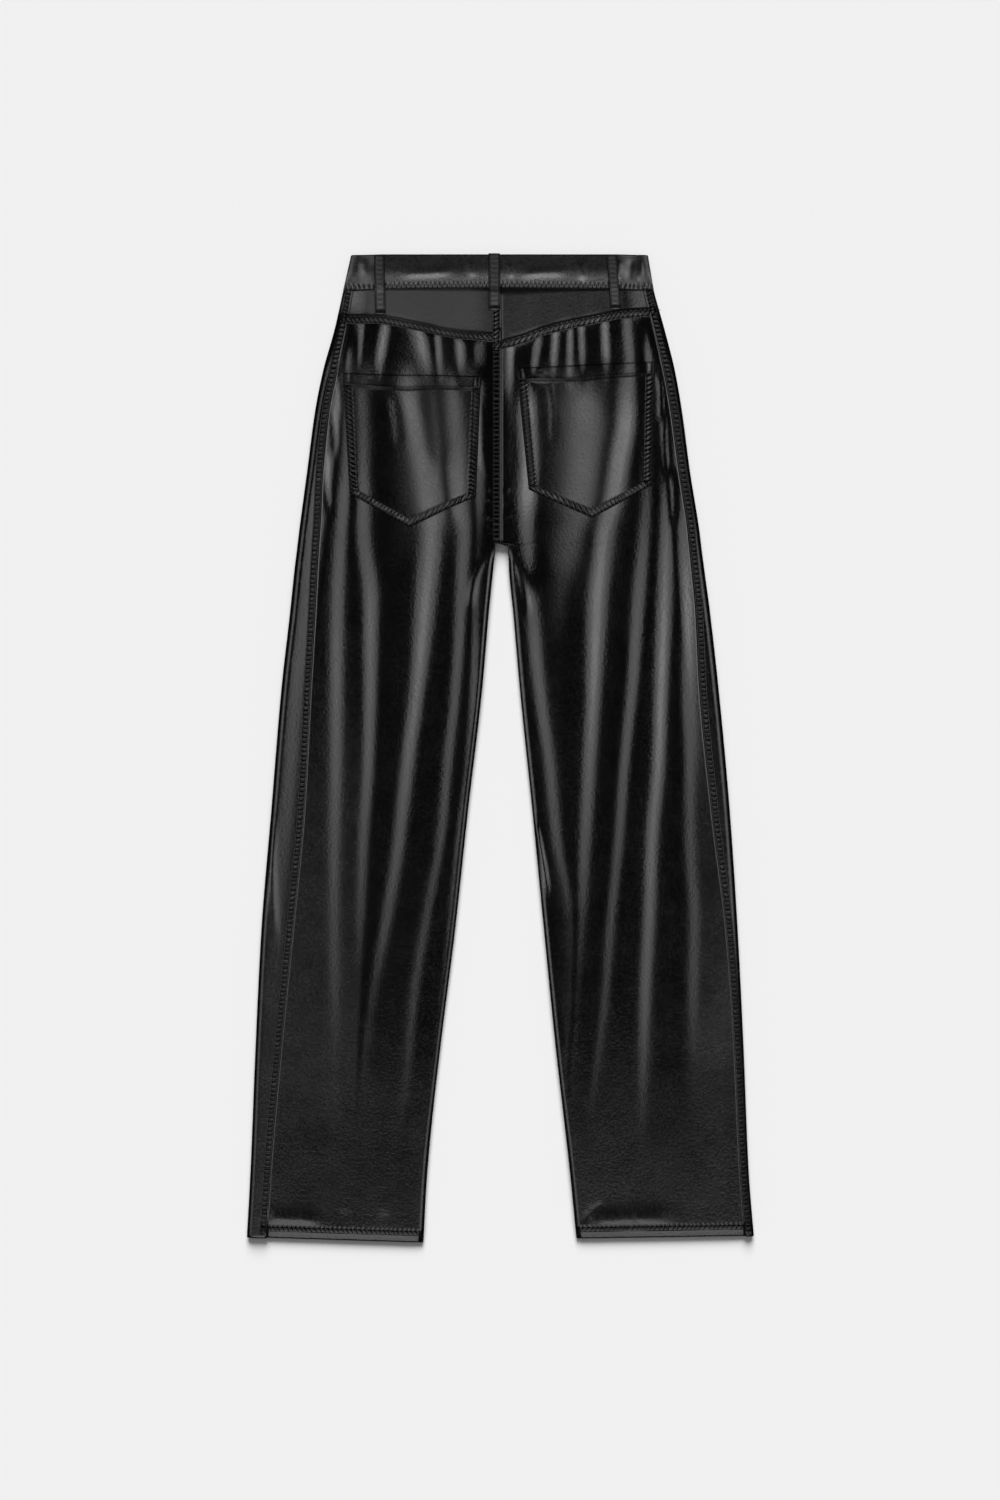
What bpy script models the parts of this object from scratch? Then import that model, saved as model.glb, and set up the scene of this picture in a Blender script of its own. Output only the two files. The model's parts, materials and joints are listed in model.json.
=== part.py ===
"""Faux leather trousers laid flat, back side up.

The waist points to +Y, the hems to -Y and the back of the garment to +Z. The front panels lie on
the surface, wrap round the outer edges and end under the side seams on the upper side. The back
panels lie on them in long soft folds. Tables hold millimetres: "down" is measured from the top
edge of the waistband, "out" from the centre line towards the outer edge of a leg.
"""
from collections import namedtuple

import bpy
import numpy as np

MM = 0.001
LENGTH = 1087.5            # waistband top to the lowest point of the hems
MIDDLE = -0.73             # centre line to the middle of the garment's width
CLOTH = 1.2                # wall of one layer
BAND_WALL = 2.0            # two layers with stiffening
LOOP_WALL = 1.5
GAP = 0.3                  # between pieces that are sewn together
LAP_RISE = CLOTH + 0.45    # an upper layer of a lapped seam, above the lower one
SEAM_BAND = 7.0            # width of a lapped side seam
CENTRE_BAND = 7.7          # width of the lapped centre back seam
YOKE_LAP = 8.0             # how far a yoke lies over its back panel
HEM = 12.0                 # depth of the turned hem
LIFT = 1.9                 # the front waist clears the surface by a belt loop
LIFT_END = (76.0, 122.0)   # down: where the front panels settle onto the surface
CROTCH = 319.5             # down: top of the gap between the legs
ROLL_IN = 6.0              # width of the rolled inner edge of a leg
EDGE_STAND = 1.1           # the leg's inner edges meet upright, over this height
ROLL_SHARE = 0.68          # width of the rolled outer edge, as a share of its height
GATHER_FADE = 46.0         # gathers run out this far below the yoke seam
GATHER_RISE = (-14.0, 10.0)    # below the yoke seam: gathers come up
GATHER_FALL = 8.0              # and from here they run out again
SHOULDER = 34.0            # the upper layer rounds down to the outer edge over this width
SEAT_NEAR = (8.0, 27.0)    # from the centre seam: where the halves share one height
SEAT_FADE = 60.0           # and this far below the crotch they no longer do
LEG_OPENS = 22.0           # the inner edge rolls in over this length below the crotch
SIDE = 180.0               # out: the side, where a yoke's edge is level
YOKE_STEPS = (24.0, 19.0)  # above a yoke's lower edge: rows where it comes down from the waistband
SEAM_COLUMNS = (0.0, 3.0, SEAM_BAND, SEAM_BAND + 2.5)                  # inwards from a side seam
CENTRE_COLUMNS = (10.5, CENTRE_BAND, 5.0, 2.3, 0.6, 0.0)               # outwards from the centre
CENTRE_X = -5.0            # the centre back seam is worn a little to the left

# A cross-section of one leg at each row: outer edge, side seam, inner edge, and the height of
# the folded outer edge.
Section = namedtuple("Section", "down edge seam inner edge_high")
SECTIONS = {
    "left": [
        Section(0, 165.0, 162.0, 2.0, 13.0),
        Section(39, 173.8, 171.0, 2.0, 13.0),
        Section(83, 183.7, 178.5, 2.0, 13.5),
        Section(127, 195.8, 187.5, 2.0, 13.5),
        Section(171, 204.6, 196.5, 2.0, 13.5),
        Section(237, 213.4, 203.5, 2.0, 13.0),
        Section(303, 222.2, 207.0, 2.0, 13.0),
        Section(316, 223.8, 208.0, 6.8, 13.0),
        Section(319.5, 224.2, 208.2, 6.2, 13.0),
        Section(347, 227.5, 209.8, 8.8, 13.0),
        Section(391, 232.1, 212.0, 13.2, 13.0),
        Section(479, 242.0, 217.0, 20.9, 12.5),
        Section(611, 253.0, 224.0, 36.3, 12.0),
        Section(743, 264.0, 236.5, 50.6, 11.0),
        Section(875, 270.6, 249.7, 67.1, 10.0),
        Section(1007, 276.0, 261.0, 81.4, 9.5),
        Section(1090, 280.5, 265.5, 86.0, 9.0),
    ],
    "right": [
        Section(0, 161.7, 158.5, -8.8, 13.0),
        Section(39, 168.3, 165.5, -8.8, 13.0),
        Section(83, 180.4, 176.0, -8.8, 13.5),
        Section(127, 191.4, 186.0, -8.8, 13.5),
        Section(171, 199.1, 194.0, -8.8, 13.5),
        Section(237, 207.9, 203.0, -8.8, 13.0),
        Section(303, 218.4, 213.0, -8.8, 13.0),
        Section(316, 220.0, 214.2, -8.8, 13.0),
        Section(319.5, 220.4, 214.6, 7.6, 13.0),
        Section(347, 224.0, 217.5, 8.8, 13.0),
        Section(391, 229.9, 221.6, 13.2, 13.0),
        Section(479, 239.8, 226.0, 20.9, 12.5),
        Section(611, 251.9, 239.0, 34.5, 12.0),
        Section(743, 260.7, 255.0, 47.3, 11.0),
        Section(875, 267.3, 264.3, 60.5, 10.0),
        Section(1007, 272.8, 270.3, 75.9, 9.5),
        Section(1090, 279.4, 276.8, 84.0, 9.0),
    ],
}

# The folds of the back panels. Each row gives, from the outer edge inwards, the heights of the
# shoulder, folds and troughs, and between them the five flanks where the leather turns up or down.
Folds = namedtuple("Folds", "down shoulder a fold1 b trough1 c fold2 d trough2 e inner")
FOLDS = {
    "left": [
        Folds(0, 13, 187, 13, 165, 13, 95, 13, 52, 13, 20, 13),
        Folds(116, 12, 187, 12, 165, 11.5, 95, 12, 52, 11.5, 20, 11.5),
        Folds(182, 10, 187, 12, 165, 9.8, 94.6, 13, 51.7, 10.2, 20, 11),
        Folds(226, 9.5, 186, 12.5, 158.4, 8, 81.4, 14, 50, 8.5, 20, 10.5),
        Folds(303, 9, 175.5, 13.5, 151.8, 4.6, 75.4, 15, 36.9, 7, 23, 10),
        Folds(380, 8.5, 179.9, 14, 143.6, 3.4, 83, 15.5, 43.5, 5, 28.6, 10),
        Folds(468, 8, 181, 14, 144.1, 3.2, 91.3, 15, 49, 4.5, 29.7, 9.5),
        Folds(556, 8, 181.5, 14, 146.3, 3.2, 102.3, 14.5, 58.3, 4, 35.8, 9),
        Folds(644, 8, 183.2, 13.5, 151.8, 3.4, 112.2, 14, 66.6, 4, 46.2, 9),
        Folds(732, 8, 183.7, 12.5, 155.1, 4.5, 126, 13, 82.5, 4.2, 53.9, 8.5),
        Folds(820, 8, 182.6, 10.5, 157.3, 8, 143, 12, 96.3, 4.6, 62, 8.5),
        Folds(908, 8, 183, 9, 160, 9.5, 153.5, 10.5, 104, 5.4, 72, 8.5),
        Folds(996, 8.5, 184, 9, 162, 9.5, 156, 9.5, 116.6, 8, 84, 8.5),
        Folds(1090, 9.5, 184, 10, 162, 10, 156, 10, 120, 10, 90, 9),
    ],
    "right": [
        Folds(0, 13, 201, 13, 181, 13, 153, 13, 135, 13, 30, 13),
        Folds(116, 12, 201, 12, 181, 12, 153, 12, 135, 12, 30, 11.5),
        Folds(182, 11.5, 201.3, 8.5, 181.5, 12, 153, 9.5, 135.3, 13, 29.7, 10),
        Folds(226, 11, 206.8, 7.5, 181.5, 12, 158.4, 8, 127.6, 14, 33, 9.5),
        Folds(303, 11, 209, 6, 182, 12.5, 157.9, 5.5, 115.5, 15, 28.6, 9),
        Folds(380, 10.5, 206.3, 4.5, 179.9, 12.5, 151.3, 3.6, 105.6, 15.5, 33.6, 7),
        Folds(468, 10, 205.7, 4, 176.6, 12.5, 145.2, 3.4, 102.3, 15, 41.3, 6),
        Folds(556, 10, 211.2, 3.8, 173.3, 12.5, 136.4, 3.4, 97.4, 14.5, 52.8, 5.5),
        Folds(644, 10, 210.7, 3.8, 166.1, 12.5, 129.8, 3.6, 92.4, 13.5, 61.6, 5),
        Folds(732, 10, 216.7, 4, 162.8, 12.5, 121, 4, 87.5, 12, 75.9, 5.5),
        Folds(820, 10, 214, 4.5, 158.4, 12, 114.4, 4.6, 81, 8.5, 77, 6),
        Folds(908, 9.5, 211.8, 6, 156.2, 11, 103.4, 5.5, 76, 7.5, 72, 7),
        Folds(996, 9.5, 211, 9, 154, 10, 91.3, 8.5, 86, 9, 84, 8.5),
        Folds(1090, 9.5, 211, 10, 154, 10, 95, 10, 90, 10, 88, 9),
    ],
}
FLANK_REACH = {"left": (9.0, 11.5, 13.5, 12.0, 7.0), "right": (9.0, 10.0, 11.0, 13.0, 10.0)}

# Gathers that run down from the yoke seams: where they start and end, how high and how wide.
Gather = namedtuple("Gather", "out_top out_end high wide")
GATHERS = {
    "left": [
        Gather(172, 173, 2.0, 4.0), Gather(162, 164, 1.8, 4.0), Gather(151, 153, 2.0, 4.5),
        Gather(136, 139, 2.2, 4.0), Gather(124, 128, 2.2, 4.5), Gather(97, 94, 3.0, 8.0),
        Gather(63, 61, 2.4, 5.0), Gather(43, 45, 3.0, 7.0), Gather(22, 17, 2.0, 5.0),
    ],
    "right": [
        Gather(14, 6, 2.2, 4.5), Gather(44, 36, 2.2, 5.0), Gather(57, 53, 2.4, 4.5),
        Gather(67, 66, 2.0, 4.0), Gather(78, 75, 2.2, 4.5), Gather(96, 94, 3.0, 7.0),
        Gather(121, 119, 3.0, 6.5), Gather(141, 145, 2.0, 4.0), Gather(151, 153, 1.8, 4.0),
        Gather(163, 163, 2.0, 4.0),
    ],
}

# The height of the seat along the centre seam.
Seat = namedtuple("Seat", "down height")
SEAT = [Seat(0, 13.0), Seat(83, 12.0), Seat(171, 11.0), Seat(237, 10.4), Seat(CROTCH, 9.5)]

# The lower edges of the two yokes, which meet at the centre a few millimetres out of line.
YokeEdge = namedtuple("YokeEdge", "out left right")
YOKE_EDGES = [
    YokeEdge(-12, 97.5, 106.0), YokeEdge(0, 97.0, 104.5), YokeEdge(26, 95.3, 97.0),
    YokeEdge(43, 93.7, 90.5), YokeEdge(65, 90.0, 84.0), YokeEdge(87, 85.0, 79.5),
    YokeEdge(110, 80.0, 75.0), YokeEdge(131, 76.5, 71.0), YokeEdge(190, 76.0, 66.0),
]
BAND_TOP = 1.0                                    # down: top edge of the waistband
BAND_SPAN = (0.0, 170.0)                          # out: its centre and its side
BAND_EDGES = (37.0, 39.0)                         # its lower edge there
HEM_EDGES = {"left": (1087.5, 1081.5), "right": (1083.0, 1080.0)}   # inner and outer corner
HEM_SPAN = (85.0, 280.0)                          # out: where these two corners are
HEM_DRAW = (900.0, 1000.0)                        # down: rows turn to follow the hem here

# Patch pockets: corners as (out, down) and the tip of the lower edge.
Pocket = namedtuple("Pocket", "top_out top_in low_out tip low_in side")
POCKETS = [
    Pocket((173.5, 131.0), (22.5, 134.5), (166.5, 262.5), (101.0, 299.5), (28.0, 266.0), "left"),
    Pocket((168.5, 118.5), (17.5, 125.0), (165.5, 253.5), (100.0, 290.0), (31.0, 258.0), "right"),
]
POCKET_RISE = CLOTH + 0.75
POCKET_HEM_RISE = 0.7      # the turned hem at a pocket's top edge stands this much higher

# Belt loops: centre at the top and at the lower end, lower end, width, and the seam under them.
Loop = namedtuple("Loop", "name x_top x_end top end wide lap")
BACK_LOOPS = [
    Loop("loop_back_left", -134.0, -132.5, 1.6, 66.0, 10.5, 0.0),
    Loop("loop_back_centre", -7.5, -7.0, 0.0, 61.5, 12.0, LAP_RISE),
    Loop("loop_back_right", 121.5, 126.0, 1.6, 60.5, 10.5, 0.0),
]
FRONT_LOOPS = [
    Loop("loop_front_left", -104.0, -106.0, 1.6, 66.0, 10.5, 0.0),
    Loop("loop_front_right", 104.0, 106.0, 1.6, 66.0, 10.5, 0.0),
]
LOOP_ARCH = 1.1            # a back loop stands off the waistband at its middle
BAND_TAB = 26.0            # the left front end of the waistband lies on this much of the right
TAB_FADE = (8.0, 30.0)     # the right end comes back down onto the surface here
BUTTON = {"radius": 8.5, "height": 1.5, "rim": 0.4, "out": 13.0, "down": 19.0}
# Strips inside the front: both sides of the centre seam, start, end, wall and gap over the front.
Strip = namedtuple("Strip", "name left right start end wall over")
FLY_TOP = BAND_EDGES[1] + 4.0
FLY = Strip("fly_facing", 22.0, 16.0, FLY_TOP, FLY_TOP + 150.0, CLOTH, GAP)
ZIP = Strip("zip", 14.0, 14.0, FLY_TOP + 2.0, FLY_TOP + 142.0, 1.4, CLOTH + 2 * GAP)

SIGN = {"left": -1.0, "right": 1.0}
BLACK = (0.012, 0.012, 0.013)

garment = bpy.data.collections.new("faux_leather_trousers")


def clear_scene():
    for item in list(bpy.data.objects):
        bpy.data.objects.remove(item, do_unlink=True)
    bpy.context.scene.collection.children.link(garment)


def leather(name, colour=BLACK, rough=0.38, metal=0.0):
    material = bpy.data.materials.new(name)
    material.use_nodes = True
    shader = material.node_tree.nodes["Principled BSDF"]
    shader.inputs["Base Color"].default_value = (*colour, 1.0)
    shader.inputs["Roughness"].default_value = rough
    shader.inputs["Metallic"].default_value = metal
    return material


def smooth_step(low, high, value):
    part = np.clip((np.asarray(value, float) - low) / (high - low), 0.0, 1.0)
    return part * part * (3.0 - 2.0 * part)


def along(rows, column, down):
    """A table column at any distance down: a cubic through its rows that never overshoots."""
    at = np.array([row.down for row in rows], float)
    value = np.array([getattr(row, column) for row in rows], float)
    step = np.diff(at)
    slope = np.diff(value) / step
    both = slope[:-1] * slope[1:]
    inner = np.where(both > 0, 2 * both / np.where(both > 0, slope[:-1] + slope[1:], 1), 0)
    tangent = np.concatenate([slope[:1], inner, slope[-1:]])
    down = np.asarray(down, float)
    cell = np.clip(np.searchsorted(at, down, side="right") - 1, 0, len(at) - 2)
    t = np.clip((down - at[cell]) / step[cell], 0.0, 1.0)
    return ((2 * t**3 - 3 * t**2 + 1) * value[cell] + (t**3 - 2 * t**2 + t) * step[cell] * tangent[cell]
            + (3 * t**2 - 2 * t**3) * value[cell + 1] + (t**3 - t**2) * step[cell] * tangent[cell + 1])


def yoke_edge(side, out):
    return np.interp(out, [row.out for row in YOKE_EDGES], [getattr(row, side) for row in YOKE_EDGES])


def band_edge(out):
    """The waistband's lower edge dips a little from the centre to the sides."""
    return np.interp(out, BAND_SPAN, BAND_EDGES)


def hem_edge(side, out):
    """The hem's lower edge runs straight from its inner to its outer corner."""
    return np.interp(out, HEM_SPAN, HEM_EDGES[side])


def back_height(side, out, down):
    """Height of the upper layer: levels joined by soft flanks, and gathers under the yoke."""
    rows = FOLDS[side]
    out, down = np.broadcast_arrays(np.asarray(out, float), np.asarray(down, float))
    levels = ["shoulder", "fold1", "trough1", "fold2", "trough2", "inner"]
    height = along(rows, levels[0], down)
    for flank, reach, before, after in zip("abcde", FLANK_REACH[side], levels, levels[1:]):
        step = along(rows, after, down) - along(rows, before, down)
        height = height + step * 0.5 * (1.0 + np.tanh((along(rows, flank, down) - out) / reach))
    below = down - yoke_edge(side, out)
    fade = smooth_step(*GATHER_RISE, below) * (1.0 - smooth_step(GATHER_FALL, GATHER_FADE, below))
    for gather in GATHERS[side]:
        part = np.clip(below / GATHER_FADE, 0.0, 1.0)
        centre = gather.out_top + (gather.out_end - gather.out_top) * part
        height = height + fade * gather.high * np.exp(-((out - centre) / gather.wide) ** 2)
    near = 1.0 - smooth_step(*SEAT_NEAR, np.abs(SIGN[side] * out - CENTRE_X))
    near = near * (1.0 - smooth_step(CROTCH, CROTCH + SEAT_FADE, down))
    height = height + (seat_height(down) - height) * near
    edge = along(SECTIONS[side], "edge", down)
    shoulder = 1.0 - smooth_step(0.0, SHOULDER, edge - out)
    return height + (along(SECTIONS[side], "edge_high", down) - height) * shoulder


def seat_height(down):
    """Height of the seat along the centre seam, shared by both halves."""
    return np.interp(down, [row.down for row in SEAT], [row.height for row in SEAT])


def ground(down):
    """The front panels rest on the surface and rise a little towards the waistband."""
    return LIFT * (1.0 - smooth_step(*LIFT_END, down))


def rolled(distance, width):
    """Quarter of an ellipse: 0 at the edge, 1 from the roll's width inwards."""
    return np.sqrt(np.clip(1.0 - (1.0 - np.clip(distance / width, 0.0, 1.0)) ** 2, 0.0, 1.0))


def roll_out(side, down):
    return ROLL_SHARE * along(SECTIONS[side], "edge_high", down)


def edge_middle(side, down):
    return 0.5 * (along(SECTIONS[side], "edge_high", down) + ground(down))


def inner_middle(side, down):
    inner = along(SECTIONS[side], "inner", down)
    return 0.5 * (back_height(side, inner + ROLL_IN, down) + ground(down))


def leg_open(down):
    """0 above the crotch, where the halves join, and 1 below it, where each leg is a tube."""
    return smooth_step(CROTCH, CROTCH + LEG_OPENS, down)


def upper(side, out, down):
    """Height of the upper layer with its rolled outer and inner edges."""
    height = back_height(side, out, down)
    edge = along(SECTIONS[side], "edge", down)
    middle = edge_middle(side, down)
    height = middle + (height - middle) * rolled(edge - out, roll_out(side, down))
    inner = along(SECTIONS[side], "inner", down)
    low = inner_middle(side, down) + 0.5 * GAP
    roll = 1.0 + leg_open(down) * (rolled(out - inner, ROLL_IN) - 1.0)
    return low + (height - low) * roll


def lower(side, out, down, inner):
    """Height of the lower layer, which turns up at both edges of the leg."""
    edge = along(SECTIONS[side], "edge", down)
    floor = ground(down)
    height = floor + (edge_middle(side, down) - floor) * (1.0 - rolled(edge - out, roll_out(side, down)))
    high = inner_middle(side, down) - 0.5 * GAP
    turn = leg_open(down) * (1.0 - rolled(out - inner, ROLL_IN))
    return height + (high - floor) * turn


def place(side, out, down, height):
    """Tailor's measures to metres in the part's frame."""
    x = SIGN[side] * np.asarray(out, float) - MIDDLE
    y = LENGTH / 2.0 - np.asarray(down, float)
    return np.stack(np.broadcast_arrays(x, y, height), axis=-1) * MM


def grid_normals(points):
    """Unit normals of a grid of points, from its rows and columns."""
    normal = np.cross(np.gradient(points, axis=1), np.gradient(points, axis=0))
    return normal / np.linalg.norm(normal, axis=2, keepdims=True)


def lifted(points, rise, side):
    """The grid moved out along its own normals, by rise millimetres."""
    return points + SIGN[side] * grid_normals(points) * np.asarray(rise)[..., None] * MM


def wall(name, points, thick, material, flip, doubled=None):
    """A cloth wall: an open surface through a grid of points, given its thickness inwards.

    Points listed as doubled get two layers, as a turned hem does.
    """
    rows, columns = points.shape[:2]
    index = np.arange(rows * columns).reshape(rows, columns)
    corners = [index[:-1, :-1], index[:-1, 1:], index[1:, 1:], index[1:, :-1]]
    faces = np.stack(corners, axis=-1).reshape(-1, 4)
    if flip:
        faces = faces[:, ::-1]
    mesh = bpy.data.meshes.new(name)
    mesh.from_pydata(points.reshape(-1, 3).tolist(), [], faces.tolist())
    mesh.shade_smooth()
    piece = bpy.data.objects.new(name, mesh)
    garment.objects.link(piece)
    mesh.materials.append(material)
    solidify = piece.modifiers.new("cloth", "SOLIDIFY")
    solidify.offset = -1.0
    solidify.use_quality_normals = True
    solidify.thickness = thick * MM
    if doubled is not None:
        group = piece.vertex_groups.new(name="turned hem")
        group.add(index[doubled].ravel().tolist(), 1.0, "REPLACE")
        solidify.thickness = 2.0 * thick * MM
        solidify.vertex_group = group.name
        solidify.thickness_vertex_group = 0.5
    return piece


def leg_rows(side):
    """Rows down a leg at its side seam: close at the gathers, crotch and hem, wide between."""
    top = float(yoke_edge(side, SIDE))
    gathers = [top - YOKE_LAP + 1.5, top, top + 8, top + 18, top + 30, top + 46]
    seat = np.linspace(top + 75, CROTCH - 30.0, 5).tolist()
    crotch = [CROTCH - 4.0, CROTCH, CROTCH + 8, CROTCH + LEG_OPENS]
    hem = HEM_EDGES[side][1]
    legs = np.linspace(CROTCH + SEAT_FADE, hem - HEM - 24.0, 12).tolist()
    return np.array(gathers + seat + crotch + legs + [hem - HEM - 1.5, hem - HEM, hem])


def yoke_rows(side):
    top = BAND_EDGES[1] + GAP
    low = float(yoke_edge(side, SIDE))
    steps = [low - step for step in YOKE_STEPS]
    return np.array([top, *steps, low - YOKE_LAP - 2.0, low - YOKE_LAP, low])


def bent_rows(side, rows, out):
    """Rows that follow the yoke seam at the top and the hem at the bottom."""
    down = rows[:, None] + np.zeros_like(out)
    at_side = float(yoke_edge(side, SIDE))
    seam = (yoke_edge(side, out) - at_side) * (1.0 - smooth_step(at_side + 46, 250, rows)[:, None])
    hem = (hem_edge(side, out) - HEM_EDGES[side][1]) * smooth_step(*HEM_DRAW, rows)[:, None]
    return down + seam + hem


def back_columns(side, rows):
    """Columns of a back piece, from its side seam to its inner edge or the centre seam."""
    seam = along(SECTIONS[side], "seam", rows)[:, None]
    inner = along(SECTIONS[side], "inner", rows)[:, None]
    from_seam = np.array(SEAM_COLUMNS)
    from_inner = np.array(CENTRE_COLUMNS) + np.zeros_like(inner)
    from_inner[:, -2] *= 1.0 - leg_open(rows)
    part = np.linspace(0.0, 1.0, 26)[1:-1]
    start = seam - from_seam[-1]
    end = inner + from_inner[:, :1]
    return np.hstack([seam - from_seam, start + (end - start) * part, inner + from_inner])


def lap_rise(side, rows, columns):
    """How far a back piece is raised where it lies on its neighbour at the seams."""
    rise = np.zeros((len(rows), columns))
    turned = rows > HEM_EDGES[side][1] - HEM - 0.1
    rise[:, :3] = (LAP_RISE + CLOTH * turned)[:, None]
    if side == "right":
        rise[:, -5:] = np.where(rows < CROTCH - 1.0, LAP_RISE, 0.0)[:, None]
    return rise


def back_panel(side, material):
    rows = leg_rows(side)
    out = back_columns(side, rows)
    down = bent_rows(side, rows, out)
    height = upper(side, out, down)
    height[:, -2] += EDGE_STAND * leg_open(rows)
    points = place(side, out, down, height)
    rise = lap_rise(side, rows, out.shape[1])
    points = lifted(points, rise, side)
    return wall(f"back_{side}", points, CLOTH, material, side == "left", doubled=np.s_[-2:, :])


def yoke(side, material):
    """The yoke lies on the gathered top of its back panel, and on the front at the side seam."""
    rows = yoke_rows(side)
    out = back_columns(side, rows)
    down = yoke_edge(side, out) - (rows[-1] - rows)[:, None]
    down[0] = band_edge(out[0]) + GAP
    points = place(side, out, down, upper(side, out, down))
    rise = lap_rise(side, rows, out.shape[1])
    rise[-2:, :] += LAP_RISE
    if side == "right":
        rise[2:4, -5:] += LAP_RISE
    return wall(f"yoke_{side}", lifted(points, rise, side), CLOTH, material, side == "left")


def front_rows(side):
    return np.concatenate([yoke_rows(side)[:3], leg_rows(side)])


def front_panel(side, material):
    """Along the surface from the inner edge, round the outer edge, and under the side seam."""
    rows = front_rows(side)
    edge = along(SECTIONS[side], "edge", rows)[:, None]
    seam = along(SECTIONS[side], "seam", rows)[:, None]
    inner = along(SECTIONS[side], "inner", rows)[:, None]
    centre = SIGN[side] * CENTRE_X + 0.5 * GAP
    inner = np.where(rows[:, None] < CROTCH - 1.0, centre, inner)
    turn = ROLL_IN * (1.0 - np.cos(np.radians([0.0, 0.0, 35.0, 62.0, 90.0]))) + 0.0 * inner
    turn[:, 1] = 0.5 * (1.0 - leg_open(rows))
    start = inner + turn
    roll = roll_out(side, rows)[:, None] * (1.0 - np.cos(np.radians([90.0, 67.5, 45.0, 22.5, 0.0])))
    end = edge - roll
    flat = start[:, -1:] + (end[:, :1] - start[:, -1:]) * np.linspace(0.0, 1.0, 5)[1:-1]
    below = np.hstack([start, flat, end])
    above = edge - (edge - seam) * np.linspace(0.0, 1.0, 6)[1:] ** 1.5
    tuck = seam - np.array([3.0, SEAM_BAND - 1.0])
    top = np.hstack([above, tuck])
    down = np.repeat(rows[:, None], below.shape[1] + top.shape[1], axis=1)
    hem = (hem_edge(side, np.hstack([below, top])) - HEM_EDGES[side][1])
    down = down + hem * smooth_step(*HEM_DRAW, rows)[:, None]
    low = lower(side, below, down[:, :below.shape[1]], inner)
    low[:, 1] -= EDGE_STAND * leg_open(rows)
    high = upper(side, top, down[:, below.shape[1]:])
    points = place(side, np.hstack([below, top]), down, np.hstack([low, high]))
    return wall(f"front_{side}", points, CLOTH, material, side == "left", doubled=np.s_[-2:, :])


def waistband(side, material):
    """Half the waistband: from the centre back, round the side, to the centre front."""
    centre = SIGN[side] * CENTRE_X + 0.5 * GAP
    rows = np.array([BAND_TOP, 20.0, BAND_EDGES[1]])
    edge = along(SECTIONS[side], "edge", rows)[:, None]
    turn = roll_out(side, rows)[:, None]
    high = along(SECTIONS[side], "edge_high", rows)[:, None]
    low = ground(rows)[:, None]
    front_end = -BAND_TAB if side == "right" else 0.0
    part = np.linspace(0.0, 1.0, 11)
    back = centre + (edge - turn - centre) * part
    front = edge - turn - (edge - turn - centre - front_end) * part
    angle = np.radians(np.linspace(90.0, -90.0, 9)[1:-1])
    middle = 0.5 * (high + low)
    side_out = edge - turn + turn * np.cos(angle)
    side_high = middle + (high - middle) * np.sin(angle)
    inside = 0.0 if side == "left" else BAND_WALL + GAP
    tab = inside * (1.0 - smooth_step(centre + TAB_FADE[0], centre + TAB_FADE[1], front))
    out = np.hstack([back, side_out, front])
    height = np.hstack([high + 0 * back, side_high, low + 0 * front + tab])
    down = rows[:, None] + 0 * out
    shape = band_edge(out) - BAND_EDGES[1]
    down = down + shape * smooth_step(0.0, 1.0, (rows / rows[-1]))[:, None]
    return wall(f"waistband_{side}", place(side, out, down, height), BAND_WALL, material,
                side == "right")


def pocket(form, material):
    """A patch on the back panel, made from the panel's heights, moved out."""
    across_part = np.linspace(0.0, 1.0, 15)
    down_part = np.array([0.0, 0.09, 0.11, 0.27, 0.45, 0.63, 0.81, 1.0])
    top = np.array(form.top_out)[None] * (1 - across_part[:, None]) \
        + np.array(form.top_in)[None] * across_part[:, None]
    tip = (form.low_out[0] - form.tip[0]) / (form.low_out[0] - form.low_in[0])
    low = np.stack([np.interp(across_part, [0, tip, 1], [form.low_out[k], form.tip[k], form.low_in[k]])
                    for k in (0, 1)], axis=-1)
    spot = top[None] * (1 - down_part[:, None, None]) + low[None] * down_part[:, None, None]
    out, down = spot[..., 0], spot[..., 1]
    rise = np.full(out.shape, POCKET_RISE)
    rise[:2] += POCKET_HEM_RISE
    points = place(form.side, out, down, upper(form.side, out, down))
    return wall(f"pocket_{form.side}", lifted(points, rise, form.side), CLOTH, material,
                form.side == "left")


def back_loop(form, material):
    """A strip sewn down at the waistband's top edge and on the yoke, standing a little off both."""
    down = np.array([form.top, form.top + 5, 20.0, 36.0, 44.0, form.end - 5, form.end])
    part = (down - form.top) / (form.end - form.top)
    centre = form.x_top + (form.x_end - form.x_top) * part
    x = centre[:, None] + form.wide * np.array([-0.5, 0.0, 0.5])
    side = "left" if form.x_top < 0.0 else "right"
    band = along(SECTIONS[side], "edge_high", down)
    seat = back_height(side, np.abs(centre), down) + form.lap
    level = np.where(down < 40.0, band, seat)
    height = level + GAP + 0.1 + LOOP_WALL + LOOP_ARCH * np.sin(np.pi * part)
    points = np.stack(np.broadcast_arrays(x - MIDDLE, LENGTH / 2 - down[:, None],
                                          height[:, None]), axis=-1) * MM
    return wall(form.name, points, LOOP_WALL, material, True)


def front_loop(form, material):
    """The hidden loops lie on the surface under the front of the waistband."""
    down = np.array([form.top, 20.0, 45.0, form.end])
    part = (down - form.top) / (form.end - form.top)
    centre = form.x_top + (form.x_end - form.x_top) * part
    x = centre[:, None] + form.wide * np.array([-0.5, 0.5])
    points = np.stack(np.broadcast_arrays(x - MIDDLE, LENGTH / 2 - down[:, None], 0.0), axis=-1) * MM
    return wall(form.name, points, LOOP_WALL, material, False)


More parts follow.
